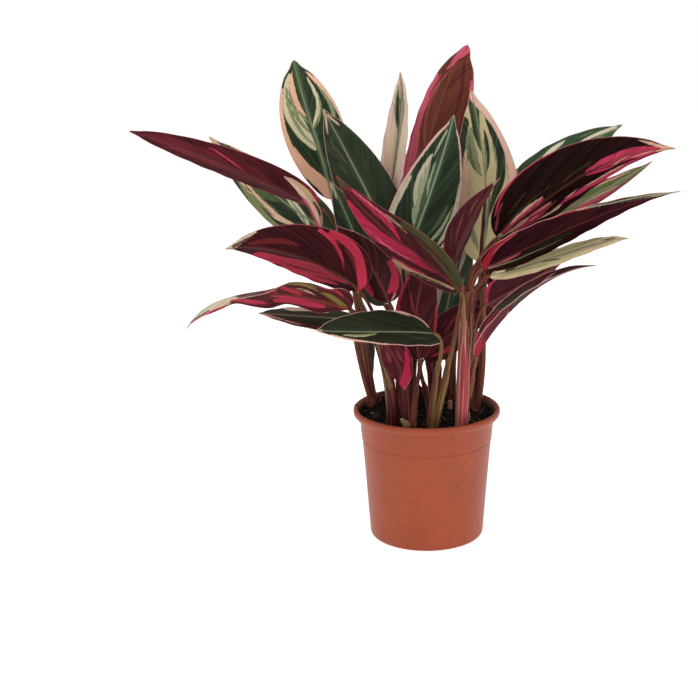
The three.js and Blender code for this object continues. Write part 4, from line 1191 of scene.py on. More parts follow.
# Marks with their places worked out in millimetres on the blade, the strokes as smooth lines of points.
def preparedMarks(marks, leaf, length):
    prepared = []
    for mark in marks:
        if mark[-1] != "stroke":
            prepared.append(mark)
            continue
        kind, (first, last), points = mark[:3]
        line = []
        for i in range(len(points) - 1):
            before, a, b, after = (points[max(0, min(len(points) - 1, i + step))] for step in (-1, 0, 1, 2))
            for step in range(5 if i < len(points) - 2 else 6):
                s = step / 5
                weights = (-s**3 + 2 * s * s - s, 3 * s**3 - 5 * s * s + 2,
                           -3 * s**3 + 4 * s * s + s, s**3 - s * s)
                pull = list(zip(weights, (before, a, b, after)))
                t, u = (sum(weight * point[axis] for weight, point in pull) / 2 for axis in (0, 1))
                share = (i + s) / (len(points) - 1)
                radius = between(first, last, share) / 2 * thinned(points, share)
                line.append((t * length, u * halfWidth(leaf, t), radius))
        reach = max(radius for _, _, radius in line) + 3
        box = (min(p[0] for p in line) - reach, max(p[0] for p in line) + reach,
               min(p[1] for p in line) - reach, max(p[1] for p in line) + reach)
        prepared.append((kind, line, box, "stroke"))
    return prepared


# A blade: a sheet of cells laid on the leaf's form, given its thickness and the midrib's ridge beneath.
def makeBlade(name, leaf, look):
    curve = curveThrough(leaf["rib"])
    length = lengthOf(curve)
    number = int(name[-2:])
    chance = random.Random(number)
    phase = chance.uniform(0, 6)
    form = bladeForm
    spots, paints, edges, ridges = [], [], [], []
    marks = preparedMarks(randomStreaks(number, look.get("wild", 0)) + look["marks"], leaf, length)

    def place(across, along):
        u = columnPlace(2 * across - 1)
        t = between(along, (1 - math.cos(math.pi * along)) / 2, 0.7)
        point, normal, half = bladePoint(leaf, curve, t, u)
        edge = abs(u)
        fromRib = half * edge
        veinAt = t * length - fromRib * (form["veinSlope"] + form["veinSweep"] * fromRib)
        side = "left" if u < 0 else "right"
        turn = 2 * math.pi * t * length / form["rippleLength"] + phase + (1.7 if u < 0 else 0)
        ripple = form["ripple"] * outline(leaf, t) * edge * edge * math.sin(turn)
        pleatTurn = 2 * math.pi * veinAt / form["pleatLength"]
        pleat = form["pleat"] * outline(leaf, t) * min(1, fromRib / 4) * math.sin(pleatTurn)
        spot = {"vein": veinAt, "edge": edge, "half": half, "t": t, "length": length, "side": side,
                "place": (t * length, half * u)}
        spots.append((veinAt, fromRib, number * 3.7 + (0.0 if u < 0 else 9.0)))
        fields = paintedAt(marks, spot)
        paints.append(fields[:3])
        ribHalf = form["ribHalf"] * (1 - t) ** 0.6 + form["ribTip"]
        edges.append(((1 - edge) * half, ribHalf, fields[3]))
        ridge = form["ribHigh"] * (1 - t) ** 0.8 * math.exp(-(fromRib / form["ribWide"]) ** 2)
        ridges.append(normal * ridge * mm)
        return (point + normal * (ripple + pleat)) * mm

    across, along = (2 * round(span / form["cell"] / 2) for span in (leaf["width"], length))
    blade = shapedGrid("blade" + name[-3:], across, along, place)
    keepVectors(blade, "leafSpot", spots)
    keepVectors(blade, "leafPaint", paints)
    keepVectors(blade, "leafEdge", edges)
    blade.data.materials.append(leafFinishFor("upper", look.get("upper", {})))
    blade.data.materials.append(leafFinishFor("under", look.get("under", {})))
    count = len(blade.data.vertices)
    applyModifier(blade, "SOLIDIFY", thickness=form["thickness"] * mm, offset=-1, material_offset=1)
    for vertex in blade.data.vertices[count:]:
        vertex.co -= ridges[vertex.index - count]
    smoothShading(blade, 50)
    putOn(blade, name)
    return blade


for leafName, leafForm in leaves.items():
    makeBlade(leafName, leafForm, bladeLooks[leafName])
print("leaf blades:", len(leaves))


# Coordinates kept on a stalk: stalkSpot holds the place round it (a unit circle) and the distance from
# its foot in millimetres; stalkEdge the distance from a sheath's margin, the share of the way to the
# blade, and a number of its own.
stalkGrain = newGroup("stalkGrain", ["Length"], ["Broad", "Narrow", "Fine", "Edge", "Share", "Fleck"])


def buildStalkGrain():
    tree = stalkGrain
    given = tree.nodes.new("NodeGroupInput")
    made = tree.nodes.new("NodeGroupOutput")
    spot, edge = keptVector(tree, "stalkSpot"), keptVector(tree, "stalkEdge")
    toMargin, share, number = axesOf(tree, edge)
    across, aside, along = axesOf(tree, spot)
    high = calculate(tree, "ADD", product(tree, along, given.outputs["Length"]), number)
    place = addNode(tree, "ShaderNodeCombineXYZ", {0: across, 1: aside, 2: high}).outputs[0]
    for label, factor, detail in (("Broad", 1.3, 1), ("Narrow", 3.6, 1), ("Fine", 11.0, 2)):
        wide = scaled(tree, place, (factor, factor, 1))
        fill(tree, made, {label: speckle(tree, wide, 1, detail)})
    inputs = {"Vector": scaled(tree, spot, (3.5, 3.5, 0.35)), "Scale": 1.0}
    fleck = addNode(tree, "ShaderNodeTexVoronoi", inputs).outputs["Distance"]
    fleck = ease(tree, fleck, 0.16, 0.08)
    fill(tree, made, {"Edge": ease(tree, toMargin, 0.75, 0.15), "Share": share, "Fleck": fleck})


buildStalkGrain()

# base and second run down a stalk in broad stripes, light in narrow ones; margin edges the sheath and
# joint colours the swollen end at the blade.
stalkLooks = {
    "brown": {"base": (112, 58, 44), "second": (92, 44, 38), "light": (138, 92, 66),
              "margin": (150, 96, 78), "joint": (112, 74, 46)},
    "plum": {"base": (86, 32, 34), "second": (58, 24, 25), "light": (126, 64, 62),
             "margin": (136, 74, 70), "joint": (92, 50, 40)},
    "olive": {"base": (104, 78, 42), "second": (92, 50, 36), "light": (132, 110, 62),
              "margin": (142, 112, 74), "joint": (108, 88, 44)},
    "dark": {"base": (88, 34, 36), "second": (64, 26, 30), "light": (122, 58, 60),
             "margin": (132, 66, 68), "joint": (92, 50, 40)},
    "rose": {"base": (156, 62, 70), "second": (128, 42, 52), "light": (190, 116, 110),
             "margin": (206, 144, 124), "joint": (150, 84, 76)},
    "cream": {"base": (152, 102, 82), "second": (134, 78, 66), "light": (176, 138, 108),
              "margin": (190, 150, 118), "joint": (150, 110, 80)},
    "bud": {"base": (158, 134, 92), "second": (128, 98, 64), "light": (188, 168, 122),
            "margin": (120, 92, 62), "joint": (176, 156, 110)},
}


fleckColour = (64, 34, 28)


def stalkFinish(name, look):
    colour = {key: tint(*value) for key, value in look.items()}
    material, tree, shader = newMaterial(name + "Stalk")
    grain = useGroup(tree, stalkGrain, {"Length": 0.014})
    skin = blendColour(tree, ease(tree, grain["Broad"], 0.4, 0.6), colour["base"], colour["second"])
    skin = blendColour(tree, ease(tree, grain["Narrow"], 0.54, 0.72), skin, colour["light"])
    skin = blendColour(tree, ease(tree, grain["Share"], 0.84, 0.93), skin, colour["joint"])
    skin = blendColour(tree, grain["Edge"], skin, colour["margin"])
    skin = blendColour(tree, product(tree, grain["Fleck"], 0.5), skin, tint(*fleckColour))
    skin = scaled(tree, skin, ranged(tree, grain["Fine"], 0.3, 0.7, 0.82, 1.16))
    rough = calculate(tree, "MULTIPLY_ADD", grain["Fine"], 0.2, 0.34)
    fill(tree, shader, {"Base Color": skin, "Roughness": rough, "Specular IOR Level": 0.07})
    roughen(tree, shader, grain["Fine"], 0.5, 0.0003)
    return material


stalkFinishes = {name: stalkFinish(name, look) for name, look in stalkLooks.items()}

stalkForm = {
    "sides": 14, "rows": 44, "taper": 1.3,
    "footRadius": 2.9, "neckRadius": 1.5,
    "jointRadius": 2.0, "jointLength": 15,  # the swollen end at the blade
    "grooveDepth": 0.22, "grooveWide": 0.5,
    "sheathShare": (0.38, 0.56), "sheathWrap": 158, "sheathLift": 0.35, "sheathThickness": 0.35,
}
soilLevel = 117
# The soil's heaps: place, rise and spread.
heaps = ((-40, 24, 14, 22), (-8, 47, 14, 22), (12, 0, 2, 26), (44, 30, 3, 20))


def soilHeight(x, y):
    height = soilLevel + 0.7 * math.sin(0.31 * x + 1) * math.cos(0.27 * y)
    for heapX, heapY, rise, spread in heaps:
        height += rise * math.exp(-((x - heapX) ** 2 + (y - heapY) ** 2) / spread**2)
    return height


# A point on the axis of a shoot's crown, a distance above its top.
def crownPoint(shoot, above):
    x, y = shoot["foot"]
    return Vector((x, y, soilHeight(x, y) + 4 + above))


def stalkCurve(leaf):
    shoot = shoots[leaf["shoot"]]
    rib = curveThrough(leaf["rib"])
    arrive = directionOn(rib, 0)
    foot = Vector(shoot["stem"]) if "stem" in shoot else crownPoint(shoot, 0)
    foot += Vector(leaf["start"])
    end = rib[0] - arrive * 0.3
    span = (end - foot).length
    leave = Vector(leaf.get("leave", (0, 0, 1))).normalized()
    return [foot, foot + leave * span * 0.5, end - arrive * span * leaf.get("reach", 0.2), end]


# Places along a curve with the direction there and the upper side, carried back from its end.
def framesAlong(curve, upper, rows=60):
    frames = []
    up = Vector(upper)
    for i in range(rows, -1, -1):
        along = directionOn(curve, i / rows)
        up = (up - along * up.dot(along)).normalized()
        frames.append((pointOn(curve, i / rows), along, up))
    return frames[::-1]


# The point at a share of the way along and an angle from the upper side, at a radius.
def pointRound(frames, share, angle, radius):
    place = max(0, min(1, share)) * (len(frames) - 1)
    i = min(int(place), len(frames) - 2)
    first, second = frames[i], frames[i + 1]
    point = first[0].lerp(second[0], place - i)
    along = first[1].lerp(second[1], place - i).normalized()
    up = first[2].lerp(second[2], place - i)
    aside = along.cross(up)
    return point + up * radius * math.cos(angle) + aside * radius * math.sin(angle)


# A closed tube along frames; radiusAt(share, angle) gives its radius.
def closedTube(name, frames, length, radiusAt, number, sides, rows):
    spots, edges = [], []
    cap = 2 / rows

    def place(across, along):
        angle = 2 * math.pi * across
        share = max(0, min(1, (along - cap) / (1 - 2 * cap)))
        closing = min(1, along / cap, (1 - along) / cap)
        spots.append((math.cos(angle), math.sin(angle), share * length))
        edges.append((9.0, share, number))
        radius = radiusAt(share, angle) * math.sqrt(max(0, 1 - (1 - closing) ** 2))
        return pointRound(frames, share, angle, radius) * mm

    tube = shapedGrid(name, sides, rows, place)
    keepVectors(tube, "stalkSpot", spots)
    keepVectors(tube, "stalkEdge", edges)
    closeSeams(tube)
    smoothShading(tube, 60)
    return tube


# A sheath: a thin strip wrapped round a stalk or stem from its foot, narrowing to a tip. facing is the
# angle of its middle, wrap half the angle it covers at its foot and tipWrap at its tip.
def wrappedSheath(name, frames, length, radiusAt, number, sheath):
    spots, edges = [], []
    form = stalkForm

    def place(across, along):
        aside = 2 * across - 1
        share = sheath["from"] + (sheath["to"] - sheath["from"]) * along
        narrowing = 1 - along ** sheath["sharpness"]
        wrap = math.radians(sheath["tipWrap"] + (sheath["wrap"] - sheath["tipWrap"]) * narrowing)
        angle = sheath["facing"] + aside * wrap
        flare = sheath["flare"] * aside**4 * (0.3 + along)
        radius = radiusAt(share, angle) + sheath["lift"] * (1 - along**5) + 0.06 + flare
        spots.append((math.cos(angle), math.sin(angle), share * length))
        edges.append(((1 - abs(aside)) * wrap * radius, share * 0.8, number + 5.3))
        return pointRound(frames, share, angle, radius) * mm

    strip = shapedGrid(name, 14, 36, place)
    keepVectors(strip, "stalkSpot", spots)
    keepVectors(strip, "stalkEdge", edges)
    strip.data.flip_normals()
    applyModifier(strip, "SOLIDIFY", thickness=form["sheathThickness"] * mm, offset=-1)
    smoothShading(strip, 60)
    return strip


# The look of each shoot's stalks, and of the stalks that differ.
stalkColours = {
    "shoot_01": "brown", "shoot_02": "plum", "shoot_03": "plum", "shoot_04": "plum", "shoot_05": "brown",
    "shoot_06": "brown", "shoot_07": "dark", "shoot_08": "plum", "shoot_09": "brown",
    "leaf_03": "olive", "leaf_27": "olive", "leaf_08": "olive", "leaf_12": "olive", "leaf_25": "brown",
    "leaf_07": "olive", "leaf_17": "rose", "leaf_28": "dark", "leaf_13": "plum", "leaf_10": "olive",
}


def makeStalk(leafName):
    leaf = leaves[leafName]
    form = stalkForm
    number = int(leafName[-2:]) * 7.1
    chance = random.Random(500 + int(leafName[-2:]))
    curve = stalkCurve(leaf)
    length = lengthOf(curve)
    rib = curveThrough(leaf["rib"])
    _, normal, _ = bladePoint(leaf, rib, 0.02, 0)
    frames = framesAlong(curve, normal)

    def radiusAt(share, angle):
        low = form["neckRadius"] + (form["footRadius"] - form["neckRadius"]) * (1 - share) ** form["taper"]
        fromBlade = (1 - share) * length / form["jointLength"]
        joint = (form["jointRadius"] - form["neckRadius"]) * math.exp(-((fromBlade - 0.5) / 0.42) ** 2)
        angle = (angle + math.pi) % (2 * math.pi) - math.pi
        groove = form["grooveDepth"] * math.exp(-((angle / form["grooveWide"]) ** 2)) * min(1, share * 4)
        return (low + joint) * (1 - groove) * leaf.get("slim", 1)

    look = stalkColours.get(leafName, stalkColours[leaf["shoot"]])
    sheath = {
        "from": 0.0, "to": chance.uniform(*form["sheathShare"]),
        "facing": math.pi + chance.uniform(-0.4, 0.4), "wrap": form["sheathWrap"], "tipWrap": 8,
        "sharpness": 2.2, "lift": form["sheathLift"], "flare": 0.35,
    }
    pieces = [
        closedTube(leafName + "Stalk", frames, length, radiusAt, number, form["sides"], form["rows"]),
        wrappedSheath(leafName + "Sheath", frames, length, radiusAt, number, sheath),
    ]
    for piece in pieces:
        piece.data.materials.append(stalkFinishes[look])
    return pieces


stemForm = {"radius": 5.3, "thinning": 0.35, "sides": 24, "rows": 50, "buried": 8}
# The sheaths round the stem, from its foot up: which way each faces (0 is the front, 90 the right), how
# far it wraps, where its tip is as a share of the stem's height, and its look.
stemSheaths = (
    {"facing": 180, "wrap": 110, "to": 1.03, "look": "brown", "lift": 0.25},
    {"facing": 105, "wrap": 85, "to": 1.06, "look": "brown", "lift": 0.5},
    {"facing": 30, "wrap": 42, "to": 0.98, "look": "cream", "lift": 0.75},
    {"facing": -8, "wrap": 44, "to": 0.80, "look": "rose", "lift": 1.0},
    {"facing": -92, "wrap": 66, "to": 0.95, "look": "brown", "lift": 0.9},
)


# A straight line as a curve.
def lineBetween(foot, top):
    return [foot, foot.lerp(top, 1 / 3), foot.lerp(top, 2 / 3), top]


def makeStem(shoot):
    form = stemForm
    foot, top = crownPoint(shoot, -form["buried"]), Vector(shoot["stem"])
    length = (top - foot).length
    frames = framesAlong(lineBetween(foot, top), (0, -1, 0))

    def radiusAt(share, angle):
        return form["radius"] - form["thinning"] * share

    stem = closedTube("stemCore", frames, length, radiusAt, 3.0, form["sides"], form["rows"])
    stem.data.materials.append(stalkFinishes["brown"])
    pieces = [stem]
    for i, layer in enumerate(stemSheaths):
        sheath = {
            "from": 0.0, "to": layer["to"], "facing": math.radians(-layer["facing"]),
            "wrap": layer["wrap"], "tipWrap": 3, "sharpness": 7, "lift": layer["lift"], "flare": 0.2,
        }
        strip = wrappedSheath("stemSheath", frames, length, radiusAt, 11.0 * i, sheath)
        strip.data.materials.append(stalkFinishes[layer["look"]])
        pieces.append(strip)
    return pieces


budForm = {
    "tipRadius": 0.3, "swell": 2.9, "bow": (0, -0.8, 0), "sides": 12, "rows": 16, "buried": 4,
    "scale": {"from": 0.0, "to": 0.86, "facing": 0.5, "wrap": 120, "tipWrap": 4, "sharpness": 2.4,
              "lift": 0.3, "flare": 0.25},
}


# A young shoot's furled tip, wrapped in a scale.
def makeBud(shoot):
    form = budForm
    foot, top = crownPoint(shoot, -form["buried"]), Vector(shoot["bud"])
    bow = Vector(form["bow"])
    length = (top - foot).length
    frames = framesAlong([foot, foot.lerp(top, 0.3) + bow, foot.lerp(top, 0.7) + bow, top], (0, -1, 0))

    def radiusAt(share, angle):
        return form["tipRadius"] + form["swell"] * math.sin(math.pi * (0.22 + 0.78 * share)) ** 0.8

    bud = closedTube("budCore", frames, length, radiusAt, 8.0, form["sides"], form["rows"])
    scale = wrappedSheath("budScale", frames, length, radiusAt, 9.0, form["scale"])
    for piece in (bud, scale):
        piece.data.materials.append(stalkFinishes["bud"])
    return [bud, scale]


crownForm = {
    "radius": 5.7, "thinning": 1.6, "lobes": 0.35, "sides": 18, "rows": 12, "buried": 16,
    "scales": 4, "scaleFrom": 0.45, "scaleTo": (1.0, 1.35), "scaleTurn": 1.6, "scaleRadius": 5.6,
    "scaleReach": 1.4,  # how far up the scales can reach, in heights of the knot
}


# The knot a shoot's stalks grow from, with the short old scales round it.
def makeCrown(shootName, shoot):
    form = crownForm
    foot, top = crownPoint(shoot, -form["buried"]), crownPoint(shoot, 1)
    length = (top - foot).length
    frames = framesAlong(lineBetween(foot, top), (0, -1, 0))
    chance = random.Random(shootName)
    turn = chance.uniform(0, 6)

    def radiusAt(share, angle):
        return form["radius"] - form["thinning"] * share**3 + form["lobes"] * math.sin(3 * angle + turn)

    def scaleRadiusAt(share, angle):
        return form["scaleRadius"] - share

    crown = closedTube("crownCore", frames, length, radiusAt, turn, form["sides"], form["rows"])
    crown.data.materials.append(stalkFinishes["dark"])
    pieces = [crown]
    tall = form["scaleReach"]
    _, along, up = frames[-1]
    extra = round((tall - 1) * 60)
    reach = frames + [(top + (top - foot) * step / 60, along, up) for step in range(1, extra + 1)]
    for i in range(form["scales"]):
        sheath = {
            "from": form["scaleFrom"] / tall, "to": chance.uniform(*form["scaleTo"]) / tall,
            "facing": turn + i * form["scaleTurn"], "wrap": 52, "tipWrap": 4,
            "sharpness": 2.6, "lift": 0.4, "flare": 0.3,
        }
        strip = wrappedSheath("crownScale", reach, length * tall, scaleRadiusAt, i, sheath)
        strip.data.materials.append(stalkFinishes[("brown", "dark")[i % 2]])
        pieces.append(strip)
    return pieces


for shootName, shoot in shoots.items():
    parts = makeCrown(shootName, shoot)
    for leafName, leafForm in leaves.items():
        if leafForm["shoot"] == shootName:
            parts += makeStalk(leafName)
    if "stem" in shoot:
        parts += makeStem(shoot)
    if "bud" in shoot:
        parts += makeBud(shoot)
    putOn(joinPieces("stalks" + shootName[-3:], parts), shootName)
print("stalks and sheaths:", len(shoots), "shoots")


# The pot, in millimetres.
potForm = {
    "sides": 144, "height": 126, "rimRadius": 70, "rimBand": 8, "neckRadius": 64, "baseRadius": 54.8,
    "wall": 2.2, "floor": 2.6, "edgeRound": 3, "lipRound": 2.2,
    "stepDrop": 30, "stepDepth": 0.5,
    "lowHeights": (12, 30, 50, 70, 85), "highHeights": (102, 110),  # rings below and above the step
    "shoulder": (  # of the rim's band: outwards in sixths of its depth, and upwards
        (0.3, -0.6), (1.0, 0), (2.4, 0.4), (3.8, 0.7), (4.8, 1.3), (5.5, 2.2), (5.9, 3.4), (6, 4.8)),
    "lipInside": ((3.4, 0.3), (4.2, 1.3), (5.5, 4), (6.6, 6.6)),  # inwards from the rim, and downwards
    "drainHoles": 8, "drainRadius": 4, "drainCircle": 36,
    "colour": (154, 68, 36), "deepColour": (146, 63, 34), "roughness": 0.42,
    "dustColour": (88, 48, 36), "soilDustAndShade": (52, 30, 24),
    "dustAndShadeHigh": 0.1225,  # soil dust and painted shade under the rim darken the inner wall below this height, in metres
    "innerWall": (0.42, 0.01406),  # the slope and start of a line between the wall's two faces
}


# The rings of the pot, radius and height, from its foot up the outside, over the rim and down to its floor.
def potRings():
    form = potForm
    height, neck, base, wall = form["height"], form["neckRadius"], form["baseRadius"], form["wall"]
    bandFoot, rim = height - form["rimBand"], form["rimRadius"]
    step, deep = height - form["stepDrop"], form["stepDepth"]
    edge, lip = form["edgeRound"], form["lipRound"]

    def wallAt(z):
        return between(base, neck, (z - edge) / (bandFoot - edge))

    rings = []
    for i in range(6):
        turn = math.radians(18 * i)
        rings.append((base - edge * (1 - math.sin(turn)), edge * (1 - math.cos(turn))))
    rings += [(wallAt(z) - deep * min(1, z / 60), z) for z in (*form["lowHeights"], step - 0.9)]
    rings += [(wallAt(step) - deep * 0.3, step - 0.5), (wallAt(step) - deep * 0.8, step - 0.1)]
    rings += [(wallAt(step) - deep * 0.8, step + 0.15), (wallAt(step), step + 0.4)]
    rings += [(wallAt(z), z) for z in (*form["highHeights"], bandFoot - 1.6)]
    rings += [(neck + out * (rim - neck) / 6, bandFoot + up) for out, up in form["shoulder"]]
    for turn in (20, 40, 60, 80, 100):
        angle = math.radians(turn)
        rings.append((rim - lip * (1 - math.cos(angle)), height - lip * (1 - math.sin(angle))))
    rings += [(rim - inwards, height - down) for inwards, down in form["lipInside"]]
    rings += [(neck - wall, bandFoot - 1.6)]
    rings += [(neck - wall - inwards, z) for inwards, z in ((1.4, 100), (4, 70), (6.6, 36))]
    rings += [(base - wall - inwards, form["floor"] + up) for inwards, up in ((0, 3), (1, 0.9), (3, 0))]
    return rings


def potFinish():
    material, tree, shader = newMaterial("terracottaPlastic")
    place = objectPlace(tree)
    broad = speckle(tree, place, 26, 3, 0.6)
    fine = speckle(tree, place, 900, 2)
    body = ease(tree, broad, 0.35, 0.68)
    body = blendColour(tree, body, tint(*potForm["deepColour"]), tint(*potForm["colour"]))
    body = scaled(tree, body, ranged(tree, fine, 0.3, 0.7, 0.94, 1.05))
    specks = addNode(tree, "ShaderNodeTexVoronoi", {"Vector": place, "Scale": 330.0})
    chosen = ease(tree, axesOf(tree, specks.outputs["Color"])[0], 0.9, 0.91)
    speck = product(tree, ease(tree, specks.outputs["Distance"], 0.3, 0.14), chosen)
    body = blendColour(tree, product(tree, speck, 0.85), body, tint(*potForm["dustColour"]))
    # A dark band on the inner wall, from the soil up to a little under the rim: soil dust, and painted
    # shade for the shadow inside the rim.
    x, y, z = axesOf(tree, place)
    out = calculate(tree, "POWER", calculate(tree, "MULTIPLY_ADD", x, x, product(tree, y, y)), 0.5)
    inner = calculate(tree, "SUBTRACT", calculate(tree, "MULTIPLY_ADD", z, *potForm["innerWall"]), out)
    below = calculate(tree, "SUBTRACT", potForm["dustAndShadeHigh"], z)
    dustAndShade = product(tree, speckle(tree, place, 240, 3, 0.7), 0.004)
    dustAndShade = calculate(tree, "MULTIPLY_ADD", below, 0.6, dustAndShade)
    dustAndShade = product(tree, ease(tree, inner, 0.0, 0.0006), ease(tree, dustAndShade, 0.0004, 0.003))
    body = blendColour(tree, dustAndShade, body, tint(*potForm["soilDustAndShade"]))
    rough = calculate(tree, "MULTIPLY_ADD", broad, 0.16, potForm["roughness"] - 0.06)
    rough = calculate(tree, "MULTIPLY_ADD", speck, 0.4, rough)
    fill(tree, shader, {"Base Color": body, "Roughness": rough, "Specular IOR Level": 0.3})
    roughen(tree, shader, calculate(tree, "ADD", fine, broad), 0.25, 0.0002)
    return material


def makePot():
    form = potForm
    rings = potRings()
    deselectAll()
    radius, height = rings[0]
    bpy.ops.mesh.primitive_circle_add(
        vertices=form["sides"], radius=radius * mm, fill_type="NGON", location=(0, 0, height * mm))
    pot = bpy.context.active_object
    pot.name = "potShell"
    pot.data.name = "potShell"
    bpy.ops.object.transform_apply(location=True, rotation=False, scale=False)
    bpy.ops.object.mode_set(mode="EDIT")
    bpy.ops.mesh.select_mode(type="EDGE")
    bpy.ops.mesh.select_all(action="SELECT")
    for nextRadius, nextHeight in rings[1:]:
        rise = (0, 0, (nextHeight - height) * mm)
        bpy.ops.mesh.extrude_edges_move(TRANSFORM_OT_translate={"value": rise})
        share = nextRadius / radius
        bpy.ops.transform.resize(value=(share, share, 1), center_override=(0, 0, nextHeight * mm))
        radius, height = nextRadius, nextHeight
    bpy.ops.mesh.edge_face_add()
    bpy.ops.mesh.select_all(action="SELECT")
    bpy.ops.mesh.normals_make_consistent(inside=False)
    bpy.ops.object.mode_set(mode="OBJECT")
    for i in range(form["drainHoles"]):
        angle = (i + 0.5) * 2 * math.pi / form["drainHoles"]
        x, y = form["drainCircle"] * math.cos(angle), form["drainCircle"] * math.sin(angle)
        deselectAll()
        bpy.ops.mesh.primitive_cylinder_add(
            vertices=28, radius=form["drainRadius"] * mm, depth=8 * mm,
            location=(x * mm, y * mm, form["floor"] / 2 * mm))
        drill = bpy.context.active_object
        applyModifier(pot, "BOOLEAN", operation="DIFFERENCE", object=drill, solver="EXACT")
        bpy.data.objects.remove(drill)
    pot.data.materials.append(potFinish())
    smoothShading(pot, 32)
    putOn(pot, "pot")


makePot()
print("pot ready")


# The soil with its crumbs and fibres, in millimetres.
soilForm = {
    "rings": 64, "sides": 200, "topRadius": 62.7, "footRadius": 50.4, "foot": 3.0, "bank": 2.2,
    "wallRadius": 60, "wallHigh": 106,  # where the bed leaves the pot's neck for its wall
    "lumps": (9, 1.5), "clods": (3.6, 1.1), "grit": (1.5, 0.5),  # how broad and how high
    "crumbs": 900, "crumbSize": (0.5, 1.9), "rimCrumbs": 22, "rimRing": (65, 69),
    "fibres": 150, "fibreRing": 57, "fibreLength": (3, 11), "fibreThick": (0.16, 0.42),
    "peat": (26, 17, 14), "deepPeat": (12, 8, 7), "palePeat": (62, 42, 30),
    "fibre": (150, 112, 74), "darkFibre": (84, 56, 38),
}


def peatFinish():
    material, tree, shader = newMaterial("darkPeat")
    place = objectPlace(tree)
    broad = speckle(tree, place, 120, 4, 0.65)
    fine = speckle(tree, place, 900, 3, 0.6)
    peat = ease(tree, broad, 0.35, 0.65)
    peat = blendColour(tree, peat, tint(*soilForm["deepPeat"]), tint(*soilForm["peat"]))
    peat = blendColour(tree, ease(tree, fine, 0.62, 0.74), peat, tint(*soilForm["palePeat"]))
    rough = calculate(tree, "MULTIPLY_ADD", fine, 0.3, 0.66)
    fill(tree, shader, {"Base Color": peat, "Roughness": rough, "Specular IOR Level": 0.1})
    roughen(tree, shader, fine, 0.8, 0.0006)
    return material


def fibreFinish():
    material, tree, shader = newMaterial("paleFibre")
    shade = ease(tree, speckle(tree, objectPlace(tree), 90, 2), 0.38, 0.62)
    colour = blendColour(tree, shade, tint(*soilForm["darkFibre"]), tint(*soilForm["fibre"]))
    fill(tree, shader, {"Base Color": colour, "Roughness": 0.8})
    return material


peatSkin = peatFinish()
fibreSkin = fibreFinish()


# The height of the crumbly surface.
def crumblyHeight(x, y):
    out = math.hypot(x, y) / soilForm["topRadius"]
    fade = 1 - 0.8 * smooth(max(0, min(1, (out - 0.82) / 0.18)))
    bank = soilForm["bank"] * smooth(max(0, min(1, (out - 0.78) / 0.2)))
    height = soilLevel + fade * (soilHeight(x, y) - soilLevel) + bank

    def lumpy(kind, layer):
        broad, high = soilForm[kind]
        return noise.noise((x / broad, y / broad, layer)) * high

    return height + (lumpy("lumps", 3.1) + lumpy("clods", 7.7)) + lumpy("grit", 1.3)


def makeSoilBed():
    form = soilForm

    def place(across, along):
        angle = 2 * math.pi * across
        down = max(0, (along - 0.9) / 0.1)
        if down == 0:
            radius = form["topRadius"] * (along / 0.9) ** 0.85
            x, y = radius * math.cos(angle), radius * math.sin(angle)
            return Vector((x, y, crumblyHeight(x, y))) * mm
        if down < 0.3:
            x, y = form["topRadius"] * math.cos(angle), form["topRadius"] * math.sin(angle)
            height = between(crumblyHeight(x, y), form["wallHigh"], down / 0.3)
            radius = between(form["topRadius"], form["wallRadius"], down / 0.3)
        elif down < 0.7:
            height = between(form["wallHigh"], form["foot"], (down - 0.3) / 0.4)
            radius = between(form["wallRadius"], form["footRadius"], (down - 0.3) / 0.4)
        else:
            radius, height = form["footRadius"] * (1 - (down - 0.7) / 0.3), form["foot"]
        return Vector((radius * math.cos(angle), radius * math.sin(angle), height)) * mm

    bed = shapedGrid("soilBed", form["sides"], form["rings"], place)
    closeSeams(bed)
    smoothShading(bed, 60)
    bed.data.materials.append(peatSkin)
    putOn(bed, "soil")


def copyOf(piece):
    copy = piece.copy()
    copy.data = piece.data.copy()
    bpy.context.collection.objects.link(copy)
    return copy


# A lump of peat 1 mm across, an uneven rounded block.
def crumbBlock():
    deselectAll()
    bpy.ops.mesh.primitive_cube_add(size=1 * mm)
    crumb = bpy.context.active_object
    crumb.name = "crumb"
    bpy.ops.object.mode_set(mode="EDIT")
    bpy.ops.mesh.select_all(action="SELECT")
    bpy.ops.mesh.subdivide(number_cuts=1, smoothness=1)
    bpy.ops.object.mode_set(mode="OBJECT")
    for vertex in crumb.data.vertices:
        vertex.co *= 1 + 0.5 * noise.noise(vertex.co * 1400)
    smoothShading(crumb, 40)
    crumb.data.materials.append(peatSkin)
    return crumb


def makeCrumbs():
    chance = random.Random(11)
    pattern = crumbBlock()
    crumbs = []
    for i in range(soilForm["crumbs"] + soilForm["rimCrumbs"]):
        angle = chance.uniform(0, 2 * math.pi)
        size = chance.uniform(*soilForm["crumbSize"])
        if i < soilForm["crumbs"]:
            radius = (soilForm["topRadius"] - 2) * math.sqrt(chance.random())
            x, y = radius * math.cos(angle), radius * math.sin(angle)
            z = crumblyHeight(x, y) + size * 0.2
        else:
            radius, size = chance.uniform(*soilForm["rimRing"]), size * 0.45
            x, y, z = radius * math.cos(angle), radius * math.sin(angle), potForm["height"] + size * 0.1
        crumb = copyOf(pattern)
        turn = Euler([chance.uniform(0, 6) for _ in range(3)]).to_matrix()
        scale = Vector([size * chance.uniform(0.7, 1.3) for _ in range(3)])
        for vertex in crumb.data.vertices:
            local = Vector([a * b for a, b in zip(vertex.co, scale)])
            vertex.co = turn @ local + Vector((x, y, z)) * mm
        crumbs.append(crumb)
    bpy.data.objects.remove(pattern)
    putOn(joinPieces("soilCrumbs", crumbs), "soil")


def fibreRadius(thick, share, angle):
    return thick * (1 - 0.6 * share)


